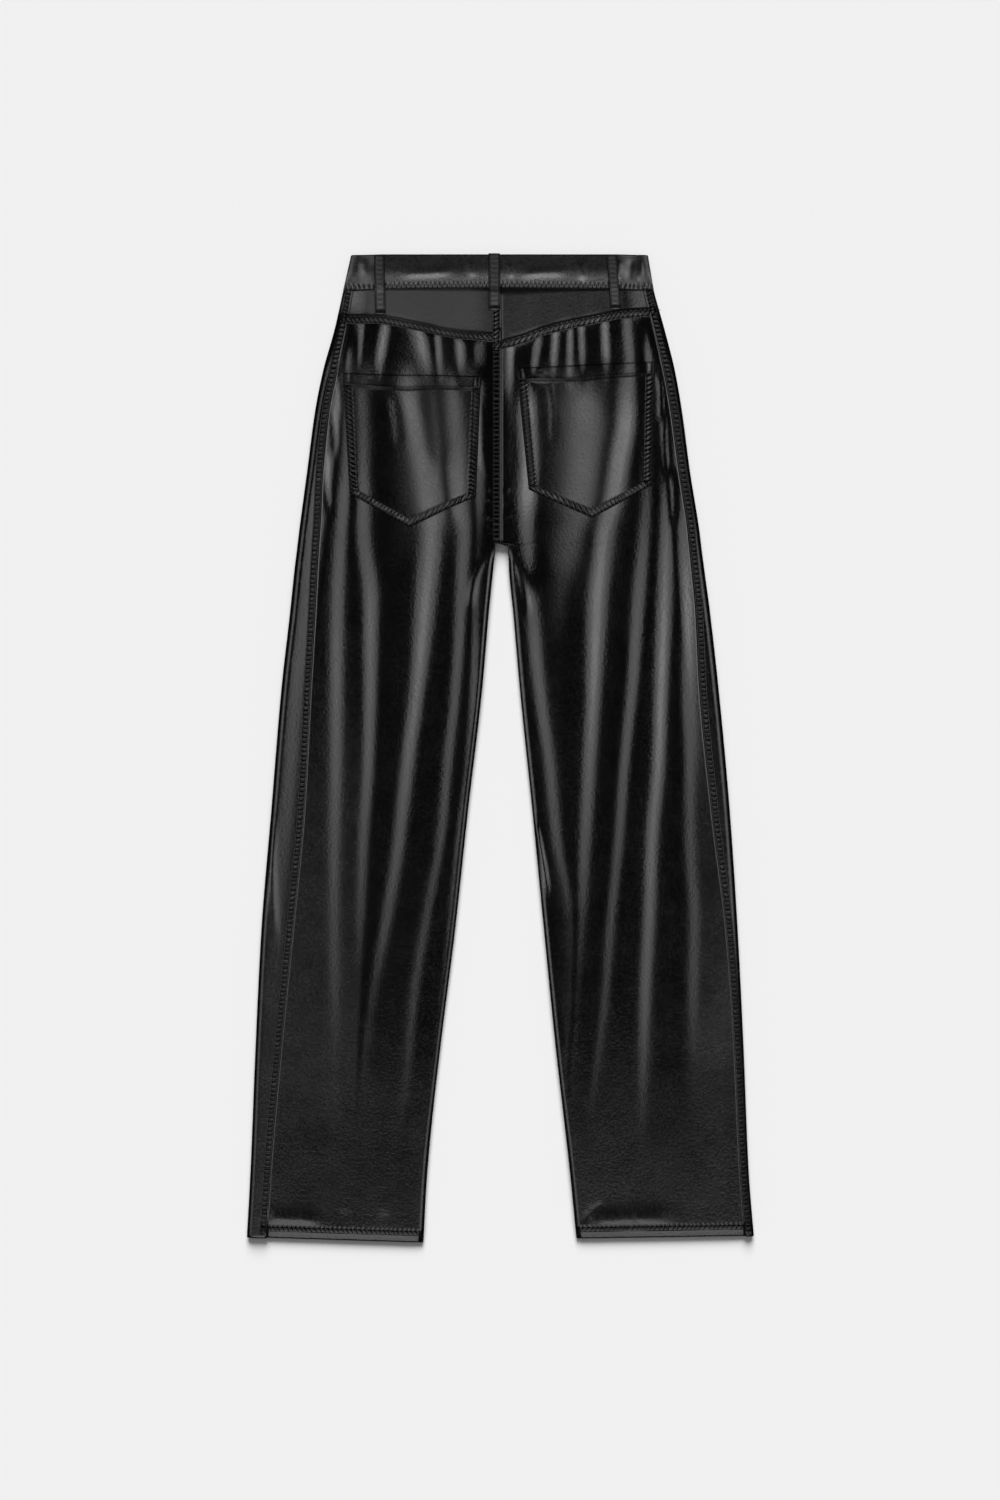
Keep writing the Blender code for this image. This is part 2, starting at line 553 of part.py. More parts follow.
def strip(form, material):
    """A plain strip inside the front, following the front panels' rise towards the waistband."""
    down = np.linspace(form.start, form.end, 8)
    top = ground(down) + CLOTH + form.over + form.wall
    x = np.array([CENTRE_X - form.left, CENTRE_X + form.right])
    points = np.stack(np.broadcast_arrays(x[None, :] - MIDDLE, LENGTH / 2 - down[:, None],
                                          top[:, None]), axis=-1) * MM
    return wall(form.name, points, form.wall, material, True)


def button(material):
    """The waist button under the centre front, a low turned disc with a rounded rim."""
    bpy.ops.mesh.primitive_cylinder_add(vertices=24, radius=BUTTON["radius"] * MM,
                                        depth=BUTTON["height"] * MM)
    piece = bpy.context.object
    piece.name = "button"
    piece.data.name = "button"
    piece.location = ((CENTRE_X - BUTTON["out"] - MIDDLE) * MM, (LENGTH / 2 - BUTTON["down"]) * MM,
                      0.5 * BUTTON["height"] * MM)
    bevel = piece.modifiers.new("rim", "BEVEL")
    bevel.width = BUTTON["rim"] * MM
    bevel.segments = 1
    bevel.limit_method = "ANGLE"
    piece.data.materials.append(material)
    for owner in list(piece.users_collection):
        owner.objects.unlink(piece)
    garment.objects.link(piece)


def build():
    clear_scene()
    panel = leather("panel_leather")
    band = leather("band_leather")
    patch = leather("pocket_leather")
    trim = leather("loop_leather")
    inside = leather("fly_leather", rough=0.6)
    tape = leather("zip_tape", (0.02, 0.02, 0.02), 0.8)
    metal = leather("button_metal", (0.25, 0.25, 0.26), 0.3, 1.0)
    for side in ("left", "right"):
        front_panel(side, panel)
        back_panel(side, panel)
        yoke(side, panel)
        waistband(side, band)
    for form in POCKETS:
        pocket(form, patch)
    for form in BACK_LOOPS:
        back_loop(form, trim)
    for form in FRONT_LOOPS:
        front_loop(form, trim)
    strip(FLY, inside)
    strip(ZIP, tape)
    button(metal)


build()
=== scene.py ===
# Black faux leather trousers laid flat, back side up: cloth shells, stitches, finishes, light and camera
import json
import bpy
import numpy as np
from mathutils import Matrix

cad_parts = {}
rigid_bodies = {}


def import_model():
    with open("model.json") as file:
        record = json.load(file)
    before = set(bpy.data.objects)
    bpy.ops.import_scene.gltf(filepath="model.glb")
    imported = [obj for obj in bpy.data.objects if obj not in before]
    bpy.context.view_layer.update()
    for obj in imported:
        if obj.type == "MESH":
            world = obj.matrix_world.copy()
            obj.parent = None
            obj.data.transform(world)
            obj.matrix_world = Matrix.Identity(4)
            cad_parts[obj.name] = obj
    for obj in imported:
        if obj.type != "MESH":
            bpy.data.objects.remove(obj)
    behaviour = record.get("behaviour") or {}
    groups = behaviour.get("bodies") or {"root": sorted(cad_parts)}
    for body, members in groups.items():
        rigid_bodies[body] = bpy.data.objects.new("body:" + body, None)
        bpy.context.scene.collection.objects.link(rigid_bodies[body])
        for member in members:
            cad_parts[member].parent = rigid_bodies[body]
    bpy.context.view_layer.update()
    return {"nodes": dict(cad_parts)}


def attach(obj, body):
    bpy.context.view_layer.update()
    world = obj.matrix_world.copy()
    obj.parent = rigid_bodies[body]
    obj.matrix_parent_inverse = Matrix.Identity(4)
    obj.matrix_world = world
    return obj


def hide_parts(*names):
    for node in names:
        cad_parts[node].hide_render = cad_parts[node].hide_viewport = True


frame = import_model()
print("frame loaded")

mm = 0.001

# What all the pieces share, in millimetres. "down" is measured from the top of the waistband, "out" from
# the middle line towards the outer edge of a leg.
garment = {
    "length": 1087.5, "middle": -0.73, "centreX": -5.0, "crotch": 319.5, "cloth": 1.0, "shell": 0.8, "gap": 0.3,
    "bandEdges": (37.0, 39.0), "hemSpan": (85.0, 280.0), "sideOut": 180.0,
    "hemEdges": {"left": (1087.5, 1081.5), "right": (1083.0, 1080.0)},
    "seatDown": (0.0, 83.0, 171.0, 237.0, 319.5), "seatHigh": (13.0, 12.0, 11.0, 10.4, 9.5),
    "lift": 1.9, "liftEnd": (76.0, 122.0), "rollIn": 6.0, "rollShare": 0.68, "edgeStand": 1.1,
    # laps: height, width of the band, where it ends, and the stitch rows counted from its edge
    "lapRise": 1.15, "seamBand": 7.0, "seamEnd": (6.6, 8.4), "seamRows": (1.5, 5.5),
    "centreBand": 7.7, "centreEnd": (7.7, 10.5), "centreRows": (1.5, 6.2),
    "yokeLap": 8.0, "yokeRows": (1.5, 6.4), "rowDip": 0.25, "rowWide": 0.6,
    "hem": 12.0, "hemFall": 3.5, "hemFallWide": 14.0, "hemFallCurve": 1.3, "hemBend": (900.0, 1000.0),
}
sign = {"left": -1.0, "right": 1.0}

# Each row: down, outer edge, side seam, inner edge, height of the rolled outer edge
legShape = {
    "columns": "down edge seam inner edgeHigh",
    "left": [
        (0, 165.0, 162.0, 2.0, 13.0), (39, 173.8, 171.0, 2.0, 8.0), (60, 178.5, 174.6, 2.0, 6.0),
        (83, 183.7, 178.5, 2.0, 9.0), (127, 195.8, 187.5, 2.0, 13.5), (171, 204.6, 196.5, 2.0, 13.5),
        (237, 213.4, 203.5, 2.0, 13.0),
        (303, 222.2, 207.0, 2.0, 13.0), (316, 223.8, 208.0, 6.8, 13.0), (319.5, 224.2, 208.2, 6.2, 13.0),
        (347, 227.5, 209.8, 8.8, 13.0), (391, 232.1, 212.0, 13.2, 13.0), (479, 242.0, 217.0, 20.9, 12.5),
        (611, 253.0, 224.0, 36.3, 12.0), (743, 264.0, 236.5, 50.6, 11.0), (875, 270.6, 249.7, 67.1, 10.0),
        (1007, 276.0, 261.0, 81.4, 9.5), (1090, 280.5, 265.5, 86.0, 9.0),
    ],
    "right": [
        (0, 161.7, 158.5, -8.8, 13.0), (39, 168.3, 165.5, -8.8, 9.5), (60, 174.1, 170.5, -8.8, 8.0),
        (83, 180.4, 176.0, -8.8, 10.0), (127, 191.4, 186.0, -8.8, 13.5), (171, 199.1, 194.0, -8.8, 13.5),
        (237, 207.9, 203.0, -8.8, 13.0),
        (303, 218.4, 213.0, -8.8, 13.0), (316, 220.0, 214.2, -8.8, 13.0), (319.5, 220.4, 214.6, 7.6, 13.0),
        (347, 224.0, 217.5, 8.8, 13.0), (391, 229.9, 221.6, 13.2, 13.0), (479, 239.8, 226.0, 20.9, 12.5),
        (611, 251.9, 239.0, 34.5, 12.0), (743, 260.7, 255.0, 47.3, 11.0), (875, 267.3, 264.3, 60.5, 10.0),
        (1007, 272.8, 270.3, 75.9, 9.5), (1090, 279.4, 276.8, 84.0, 9.0),
    ],
}

# Each row: down, then levels and the flanks a to f between them, from the outer edge inwards. A flank's
# reach changes from "reach" to "reachLow" over "narrows", and its height from 1 to "soft" over "softens".
folds = {
    "columns": "down shoulder a fold1 b trough1 c fold2 d trough2 e inner f core",
    "left": [
        (0, 13, 176, 13, 160, 13, 100, 13, 57, 13, 20, 13, 10, 13),
        (112, 12, 174, 13, 158, 10, 101, 13, 57, 11, 20, 11.5, 10, 11.5),
        (150, 8.2, 170, 13.8, 156, 6, 101, 17.5, 54, 9, 20, 11, 10, 11),
        (182, 7.4, 166.5, 14.2, 155, 5, 95.5, 18.5, 51.5, 8, 20, 11, 10, 11),
        (226, 7.2, 167.5, 14.2, 154, 4.6, 87, 18.5, 48, 8, 20, 10.5, 10, 10.5),
        (270, 7.4, 172, 14, 152, 4.4, 81, 18, 46, 8.1, 22, 10.3, 10, 10.3),
        (303, 7.8, 175, 13.6, 151.8, 4.3, 76.5, 16.5, 41, 8.2, 23, 10.2, 10, 10.2),
        (380, 8.5, 179.9, 14, 143.6, 3.4, 83, 15.5, 43.5, 8, 28.6, 11.5, 14, 11.5),
        (468, 8, 181, 14, 144.1, 3.2, 91.3, 15, 49, 7.5, 29.7, 11.5, 22, 11.5),
        (556, 8, 181.5, 14, 146.3, 3.2, 102.3, 14.5, 58.3, 6.5, 35.8, 10, 30, 10),
        (644, 8, 183.2, 13.5, 151.8, 3.4, 112.2, 13, 66.6, 5, 46.2, 9, 40, 9),
        (732, 8, 183.7, 12.5, 155.1, 4.5, 126, 12, 82.5, 4.6, 53.9, 8.5, 50, 8.5),
        (820, 8, 182.6, 11.5, 157.3, 8, 143, 12, 96.3, 4.8, 62, 8.5, 58, 8.5),
        (908, 8, 183, 9.6, 160, 9.3, 153.5, 10.5, 104, 5.4, 72, 8.5, 68, 8.5),
        (996, 8.5, 184, 9, 162, 9.5, 156, 9.5, 116.6, 8, 84, 8.5, 80, 8.5),
        (1090, 9.5, 184, 10, 162, 10, 156, 10, 120, 10, 90, 9, 86, 9),
    ],
    "right": [
        (0, 13, 201, 13, 181, 13, 153, 13, 135, 13, 88, 13, 28, 13),
        (112, 12, 190, 12, 176, 12, 160, 11, 137, 13, 90, 11, 26, 11.5),
        (150, 11.5, 194, 8.5, 178, 12, 160, 8.5, 137, 20, 94, 0.5, 28, 9),
        (182, 11.5, 198, 8, 181.5, 12, 161, 7, 136, 23, 94, -4, 29, 9.5),
        (226, 11, 204, 7, 181.5, 12, 161, 6.3, 128, 23, 92, -4, 31, 9.3),
        (270, 11, 207, 6.4, 182, 12.3, 160.5, 5.8, 121, 22.5, 88, -3.5, 29, 9),
        (303, 11, 208, 6, 182, 12.5, 158, 5.3, 113, 18.5, 80, 1, 29, 9),
        (340, 10.8, 207.5, 5.2, 181, 12.5, 155, 4.4, 109, 16.5, 73, 3.5, 31, 9),
        (380, 10.5, 206.3, 4.5, 179.9, 12.5, 151.3, 3.6, 105.6, 15.5, 66, 10, 33.6, 4.5),
        (468, 10.5, 205.7, 3.2, 176.6, 12.5, 145.2, 3.4, 102.3, 15, 62, 14, 41.3, 6),
        (556, 10.5, 208.5, 3, 173.3, 12.5, 136.4, 3.4, 97.4, 14, 60, 13.5, 52.8, 5.5),
        (644, 10.5, 208.5, 3, 166.1, 12.5, 129.8, 3.6, 92.4, 13, 62, 12.6, 61.6, 5),
        (732, 11, 213, 3.2, 162.8, 12, 121, 4, 87.5, 11, 78, 10.8, 75.9, 5.5),
        (820, 11, 211.5, 3.7, 158.4, 11.5, 114.4, 4.6, 81, 8.5, 79, 8, 77, 6),
        (908, 9.5, 211.8, 6, 156.2, 10.5, 103.4, 5.5, 76, 7.5, 74, 7, 72, 7),
        (996, 9.5, 211, 8.6, 154, 9.8, 91.3, 8.2, 86, 8.6, 85, 8.5, 84, 8.5),
        (1090, 9.5, 211, 10, 154, 10, 95, 10, 90, 10, 89, 9.5, 88, 9),
    ],
    "reach": {"left": (8.5, 11.5, 13.0, 11.0, 6.5, 6.0), "right": (9.0, 9.5, 10.5, 12.5, 24.0, 10.0)},
    "reachLow": {"left": (8.0, 8.5, 8.0, 7.5, 6.0, 5.5), "right": (10.0, 6.8, 7.5, 8.0, 9.0, 8.0)},
    "narrows": (290.0, 520.0), "softens": (400.0, 700.0), "soft": 0.76,
    "depth": 0.54, "seatNear": {"left": (8.0, 27.0), "right": (6.0, 20.0)}, "seatFade": 60.0, "edgeNear": 34.0,
}

# Where the leather is dull. Broad patches: out, down, half width across and along, amount, where a
# negative amount makes what is there glossier. Towards the hems dullness grows over "low" up to "most",
# except between the flanks named as glossy. "edge" and "centre" paint shade on the turned edges and
# beside the seat seam by lowering the reflection.
dullness = {
    "left": [(72, 220, 42, 100, 0.85), (162, 175, 20, 60, 0.6), (128, 985, 34, 60, -0.3),
             (176, 1015, 96, 82, -0.5)],
    "right": [(90, 220, 44, 100, 0.78), (80, 350, 26, 70, 0.6), (262, 1020, 16, 90, -0.35),
              (176, 1010, 104, 80, -0.42)],
    "low": (330.0, 700.0), "most": 0.42, "front": 0.4,
    "glossy": {"left": ("bc", "cd", "de"), "right": ("ab", "bc", "cd", "de", "f")},
    "glossyStart": (280.0, 420.0), "glossyEnd": (860.0, 985.0), "glossyEdge": (0.35, 1.15),
    "edge": 0.85, "edgeWide": 10.0, "innerShare": 0.8, "innerFrom": (310.0, 330.0),
    "centre": 0.6, "centreWide": {"left": 21.0, "right": 13.0}, "centreFrom": (94.0, 104.0),
}

# Gathers under the yokes, each a small flank: out at the top, out at the end, step, reach. They lean over
# "lean" and show from the yoke's edge, over "start", until "end".
gathers = {
    "left": [(177, 179, 2.0, 3.4), (166, 169, -2.0, 3.4), (153, 156, 1.6, 3.0), (127, 134, -3.6, 6.0),
             (90, 80, 3.6, 8.0), (70, 67, -2.4, 3.8), (46, 43, 3.4, 6.0), (24, 20, -1.0, 10.0)],
    "right": [(12, 7, 1.1, 3.8), (41, 34, -2.8, 4.8), (60, 57, 2.4, 4.2), (76, 75.5, -2.2, 3.6),
              (88, 90, 2.2, 3.6), (114, 116, -3.2, 4.8), (138, 142, 2.0, 5.0), (160, 163, -1.8, 4.0)],
    "lean": 46.0, "start": (-14.0, 6.0), "end": (104.0, 162.0),
}

# Creases, listed one by one: out and down of both ends, how far the middle bows out, height, width.
# A negative height is a trough.
creases = {
    "left": [
        (7, 258, 13, 262, 1, 0.5, 1.7), (6, 268, 15, 270, -1, 0.6, 1.8), (7, 279, 13, 282, 1, -0.5, 1.7),
        (6, 290, 15, 291, 1, 0.6, 1.9), (7, 301, 13, 298, -1, 0.5, 1.7), (8, 311, 16, 309, 1, -0.5, 1.9),
        (182, 128, 179, 180, 2, 0.6, 3.4), (190, 150, 184, 226, -3, 0.8, 4.2), (193, 212, 187, 292, 3, 0.7, 4.0),
        (16, 330, 34, 392, 4, -0.7, 4.0), (250, 610, 247, 760, 3, 0.7, 4.0), (80, 140, 68, 240, 2, -0.8, 8.0),
        (66, 210, 54, 304, 0, 1.4, 11.0), (120, 150, 112, 216, -2, 0.5, 6.0), (22, 150, 19, 240, 2, 0.7, 4.0),
        (266, 1060, 196, 1064, -2, 1.5, 8.0), (128, 1052, 131, 1078, 0, -0.3, 6.0),
        (172, 1050, 170, 1078, 1, -0.3, 7.0),
    ],
    "right": [
        (2, 262, 10, 259, 1, 0.5, 1.8), (3, 275, 12, 278, -1, -0.5, 1.8), (3, 291, 11, 288, 1, 0.5, 1.9),
        (173, 128, 175, 186, 2, 0.8, 3.2), (180, 170, 184, 250, -2, 0.9, 3.4), (187, 232, 190, 300, 2, 0.8, 3.6),
        (52, 132, 56, 210, 3, 0.6, 4.0), (89, 1066, 113, 1044, 2, -0.5, 4.0), (33, 610, 53, 712, 2, 0.9, 3.0),
        (14, 332, 30, 400, 3, -0.7, 4.0), (94, 1064, 200, 1062, 3, 1.2, 9.0),
        (150, 1050, 152, 1077, 0, -0.3, 6.0),
    ],
}

# The same for the hidden front, whose creases only rise from the surface it lies on, and for the waistband
frontCreases = {
    "left": [(60, 196, 132, 268, 6, 0.8, 9.0), (34, 240, 84, 330, 5, 0.7, 8.0),
             (176, 300, 150, 520, 7, 0.9, 11.0), (110, 420, 128, 700, -6, 0.8, 10.0),
             (206, 560, 214, 860, 5, 0.7, 10.0), (96, 780, 120, 1010, 6, 0.8, 11.0)],
    "right": [(52, 188, 120, 276, 6, 0.8, 9.0), (30, 262, 70, 338, 5, 0.6, 7.0),
              (168, 280, 160, 470, -7, 0.9, 11.0), (98, 450, 112, 640, 6, 0.8, 10.0),
              (200, 600, 222, 930, -5, 0.8, 11.0), (110, 720, 138, 1000, 6, 0.8, 12.0)],
}
bandCreases = {
    "left": [(152, 5, 147, 27, 1, 0.6, 4.5), (137, 8, 139, 30, -1, -0.5, 4.0), (112, 22, 52, 19, 1, 0.5, 4.0),
             (34, 8, 30, 26, 1, 0.4, 4.5)],
    "right": [(130, 6, 126, 28, 1, 0.8, 4.5), (144, 4, 141, 30, -1, -0.7, 4.0), (155, 8, 151, 30, 1, 0.6, 3.6),
              (20, 24, 74, 20, 1, 0.5, 4.5), (88, 8, 92, 30, -1, 0.5, 5.0), (8, 10, 12, 28, 1, 0.4, 3.5)],
}

# Lower edge of the yokes: out, then down on the left and on the right
yokeShape = [(-12, 97.5, 106.0), (0, 97.0, 104.5), (26, 95.3, 97.0), (43, 93.7, 90.5), (65, 90.0, 84.0),
             (87, 85.0, 79.5), (110, 80.0, 75.0), (131, 76.5, 71.0), (190, 76.0, 66.0)]


def smoothStep(low, high, value):
    # 3t^2 - 2t^3, with t from 0 at low to 1 at high
    t = np.clip((np.asarray(value, float) - low) / (high - low), 0.0, 1.0)
    return t * t * (3.0 - 2.0 * t)


def column(shape, side, name, down):
    # a table's column at any distance down: a cubic through its rows that never overshoots
    table = np.array(shape[side], float)
    at, value = table[:, 0], table[:, shape["columns"].split().index(name)]
    step = np.diff(at)
    slope = np.diff(value) / step
    both = slope[:-1] * slope[1:]
    inside = np.where(both > 0, 2 * both / np.where(both > 0, slope[:-1] + slope[1:], 1), 0)
    tangent = np.concatenate([slope[:1], inside, slope[-1:]])
    down = np.asarray(down, float)
    k = np.clip(np.searchsorted(at, down, side="right") - 1, 0, len(at) - 2)
    t = np.clip((down - at[k]) / step[k], 0.0, 1.0)
    return ((2 * t**3 - 3 * t**2 + 1) * value[k] + (t**3 - 2 * t**2 + t) * step[k] * tangent[k]
            + (3 * t**2 - 2 * t**3) * value[k + 1] + (t**3 - t**2) * step[k] * tangent[k + 1])


def yokeEdge(side, out):
    # down of a yoke's lower edge: straight between the rows of yokeShape
    table = np.array(yokeShape, float)
    return np.interp(out, table[:, 0], table[:, 1 if side == "left" else 2])


def yokeAtSide(side):
    # down of the yoke's lower edge at the side seam
    return float(yokeEdge(side, garment["sideOut"]))


def bandEdge(out):
    # down of the waistband's lower edge: a straight line from the centre to the side
    return np.interp(out, [0.0, 170.0], garment["bandEdges"])


def hemEdge(side, out):
    # down of the hem: a straight line from the inner to the outer edge
    return np.interp(out, garment["hemSpan"], garment["hemEdges"][side])


def hemAtSide(side):
    # down of the hem at the outer edge
    return garment["hemEdges"][side][1]


def hemBend(side, out, rows):
    # how far the rows are moved to follow the slanting hem: all of it at the hem, nothing up the leg
    return (hemEdge(side, out) - hemAtSide(side)) * smoothStep(*garment["hemBend"], rows)[:, None]


def legLine(side, name, rows):
    # a leg's edge, seam or inner edge as a column beside the grid's rows
    return column(legShape, side, name, rows)[:, None]


def seatHeight(down):
    # height along the centre seam: straight between the named heights
    return np.interp(down, garment["seatDown"], garment["seatHigh"])


def ground(down):
    # the front rises from the surface towards the waistband
    return garment["lift"] * (1.0 - smoothStep(*garment["liftEnd"], down))


def relief(table, out, down):
    # sum of the creases: high * exp(-(distance / wide)^2), fading out over the first and last quarter of
    # each; the middle bows out by 4 bow t (1 - t)
    total = np.zeros(np.broadcast(out, down).shape)
    for out0, down0, out1, down1, bow, high, wide in table:
        alongOut, alongDown = out1 - out0, down1 - down0
        size = np.hypot(alongOut, alongDown)
        t = ((out - out0) * alongOut + (down - down0) * alongDown) / size**2
        across = ((out - out0) * alongDown - (down - down0) * alongOut) / size
        inside = np.clip(t, 0.0, 1.0)
        across = across - bow * 4.0 * inside * (1.0 - inside)
        fade = smoothStep(-0.06, 0.28, t) * (1.0 - smoothStep(0.72, 1.06, t))
        total = total + high * fade * np.exp(-(across / wide) ** 2)
    return total


def flankStep(distance):
    # 0 to 1 from the far to the near side of a flank: (1 + tanh distance) / 2
    return 0.5 * (1.0 + np.tanh(distance))


def backHeight(side, out, down):
    # levels joined by flanks, step * (1 + tanh(distance / reach)) / 2, then gathers and creases
    out, down = np.broadcast_arrays(np.asarray(out, float), np.asarray(down, float))
    levels = ["shoulder", "fold1", "trough1", "fold2", "trough2", "inner", "core"]
    height = column(folds, side, levels[0], down)
    low = smoothStep(*folds["narrows"], down)
    depth = folds["depth"] * (1.0 - (1.0 - folds["soft"]) * smoothStep(*folds["softens"], down))
    for k, (flank, before, after) in enumerate(zip("abcdef", levels, levels[1:])):
        reachTop, reachLow = folds["reach"][side][k], folds["reachLow"][side][k]
        reach = reachTop + (reachLow - reachTop) * low
        step = (column(folds, side, after, down) - column(folds, side, before, down)) * reach / reachTop
        height = height + depth * step * flankStep((column(folds, side, flank, down) - out) / reach)
    below = down - yokeEdge(side, out)
    fade = smoothStep(*gathers["start"], below) * (1.0 - smoothStep(*gathers["end"], down))
    part = np.clip(below / gathers["lean"], 0.0, 1.0)
    for outTop, outEnd, step, reach in gathers[side]:
        centre = outTop + (outEnd - outTop) * part
        height = height + fade * step * flankStep((centre - out) / reach)
    near = 1.0 - smoothStep(*folds["seatNear"][side], np.abs(sign[side] * out - garment["centreX"]))
    near = near * (1.0 - smoothStep(garment["crotch"], garment["crotch"] + folds["seatFade"], down))
    height = height + (seatHeight(down) - height) * near
    shoulder = 1.0 - smoothStep(0.0, folds["edgeNear"], column(legShape, side, "edge", down) - out)
    height = height + (column(legShape, side, "edgeHigh", down) - height) * shoulder
    return height + relief(creases[side], out, down)


def dull(side, out, down):
    # 1 where the leather is dull, 0 where it is glossy: patches exp(-(across^4 + along^4)), the lower legs,
    # and none between the flanks named as glossy
    out, down = np.broadcast_arrays(np.asarray(out, float), np.asarray(down, float))
    amount = dullness["most"] * smoothStep(*dullness["low"], down)
    for out0, down0, wide, long, most in dullness[side]:
        patch = np.exp(-((out - out0) / wide) ** 4 - ((down - down0) / long) ** 4)
        amount = amount * (1.0 + most * patch) if most < 0 else np.maximum(amount, most * patch)
    ending = smoothStep(*dullness["glossyStart"], down) * (1.0 - smoothStep(*dullness["glossyEnd"], down))
    for pair in dullness["glossy"][side]:
        outer = column(folds, side, pair[0], down)
        if len(pair) > 1:
            inner = column(folds, side, pair[1], down)
        else:  # a single flank reaches as far again past the inner edge
            inner = 2.0 * column(legShape, side, "inner", down) - outer
        middle, half = 0.5 * (outer + inner), 0.5 * (outer - inner)
        inside = 1.0 - smoothStep(*dullness["glossyEdge"], np.abs(out - middle) / np.maximum(half, 4.0))
        amount = amount * (1.0 - ending * inside)
    return amount


def paintedEdgeShade(side, out, down):
    # painted shade, lowering the reflection where the cloth turns away at the outer edge, at the inner edge
    # and beside the centre seam: 1 - smoothStep of the distance at the edges, exp(-(distance / wide)^4) at the
    # centre
    wide, apart = dullness["edgeWide"], smoothStep(*dullness["innerFrom"], down)
    outer = 1.0 - smoothStep(0.5, wide, column(legShape, side, "edge", down) - out)
    inner = 1.0 - smoothStep(0.0, 0.8 * wide, out - column(legShape, side, "inner", down))
    centre = np.exp(-((sign[side] * out - garment["centreX"]) / dullness["centreWide"][side]) ** 4)
    centre = centre * smoothStep(*dullness["centreFrom"], down) * (1.0 - apart)
    shade = np.maximum(outer, dullness["innerShare"] * inner * apart)
    return np.maximum(dullness["edge"] * shade, dullness["centre"] * centre)


def rolled(distance, width):
    # quarter of an ellipse, 0 at the edge and 1 from the roll's width inwards
    return np.sqrt(np.clip(1.0 - (1.0 - np.clip(distance / width, 0.0, 1.0)) ** 2, 0.0, 1.0))


def rollOut(side, down):
    # how far the outer edge's roll reaches in: a share of its height
    return garment["rollShare"] * column(legShape, side, "edgeHigh", down)


def edgeMiddle(side, down):
    # height at which front and back meet at the outer edge: half way up the roll
    return 0.5 * (column(legShape, side, "edgeHigh", down) + ground(down))


def innerMiddle(side, down):
    # height at which front and back meet at the inner edge: half way up to the back
    inner = column(legShape, side, "inner", down)
    return 0.5 * (backHeight(side, inner + garment["rollIn"], down) + ground(down))


def legOpen(down):
    # 0 in the seat, where the halves are sewn together, and 1 where the legs are apart
    return smoothStep(garment["crotch"], garment["crotch"] + 22.0, down)


def upperHeight(side, out, down, rows=None):
    # the back's height, brought down to the middle by a quarter ellipse at both edges; rows gives the
    # distance down that sets the edges
    rows = down if rows is None else rows
    height = backHeight(side, out, down)
    middle = edgeMiddle(side, rows)
    fromEdge = column(legShape, side, "edge", down) - out
    height = middle + (height - middle) * rolled(fromEdge, rollOut(side, rows))
    low = innerMiddle(side, rows) + 0.5 * garment["gap"]
    roll = 1.0 + legOpen(down) * (rolled(out - column(legShape, side, "inner", down), garment["rollIn"]) - 1.0)
    return low + (height - low) * roll


def lowerHeight(side, out, down, inner, rows):
    # the front's height: flat with its creases, turned up by a quarter ellipse at both edges
    floor = ground(down)
    edge = column(legShape, side, "edge", down)
    height = floor + (edgeMiddle(side, rows) - floor) * (1.0 - rolled(edge - out, rollOut(side, rows)))
    high = innerMiddle(side, rows) - 0.5 * garment["gap"]
    height = height + relief(frontCreases[side], out, down)
    return height + (high - floor) * legOpen(down) * (1.0 - rolled(out - inner, garment["rollIn"]))


def place(side, out, down, height):
    # from out, down and height to a point in metres, with the origin in the middle of the garment
    x = sign[side] * np.asarray(out, float) - garment["middle"]
    y = garment["length"] / 2.0 - np.asarray(down, float)
    return np.stack(np.broadcast_arrays(x, y, height), axis=-1) * mm


def unit(vectors):
    # each vector divided by its length
    return vectors / np.maximum(np.linalg.norm(vectors, axis=-1, keepdims=True), 1e-12)


def gridNormals(points):
    # cross product of a grid's two slopes
    return unit(np.cross(np.gradient(points, axis=1), np.gradient(points, axis=0)))


def lifted(points, rise, turn):
    # the grid moved along its normals by rise; turn is -1 where the grid runs the other way
    return points + turn * gridNormals(points) * np.asarray(rise)[..., None] * mm


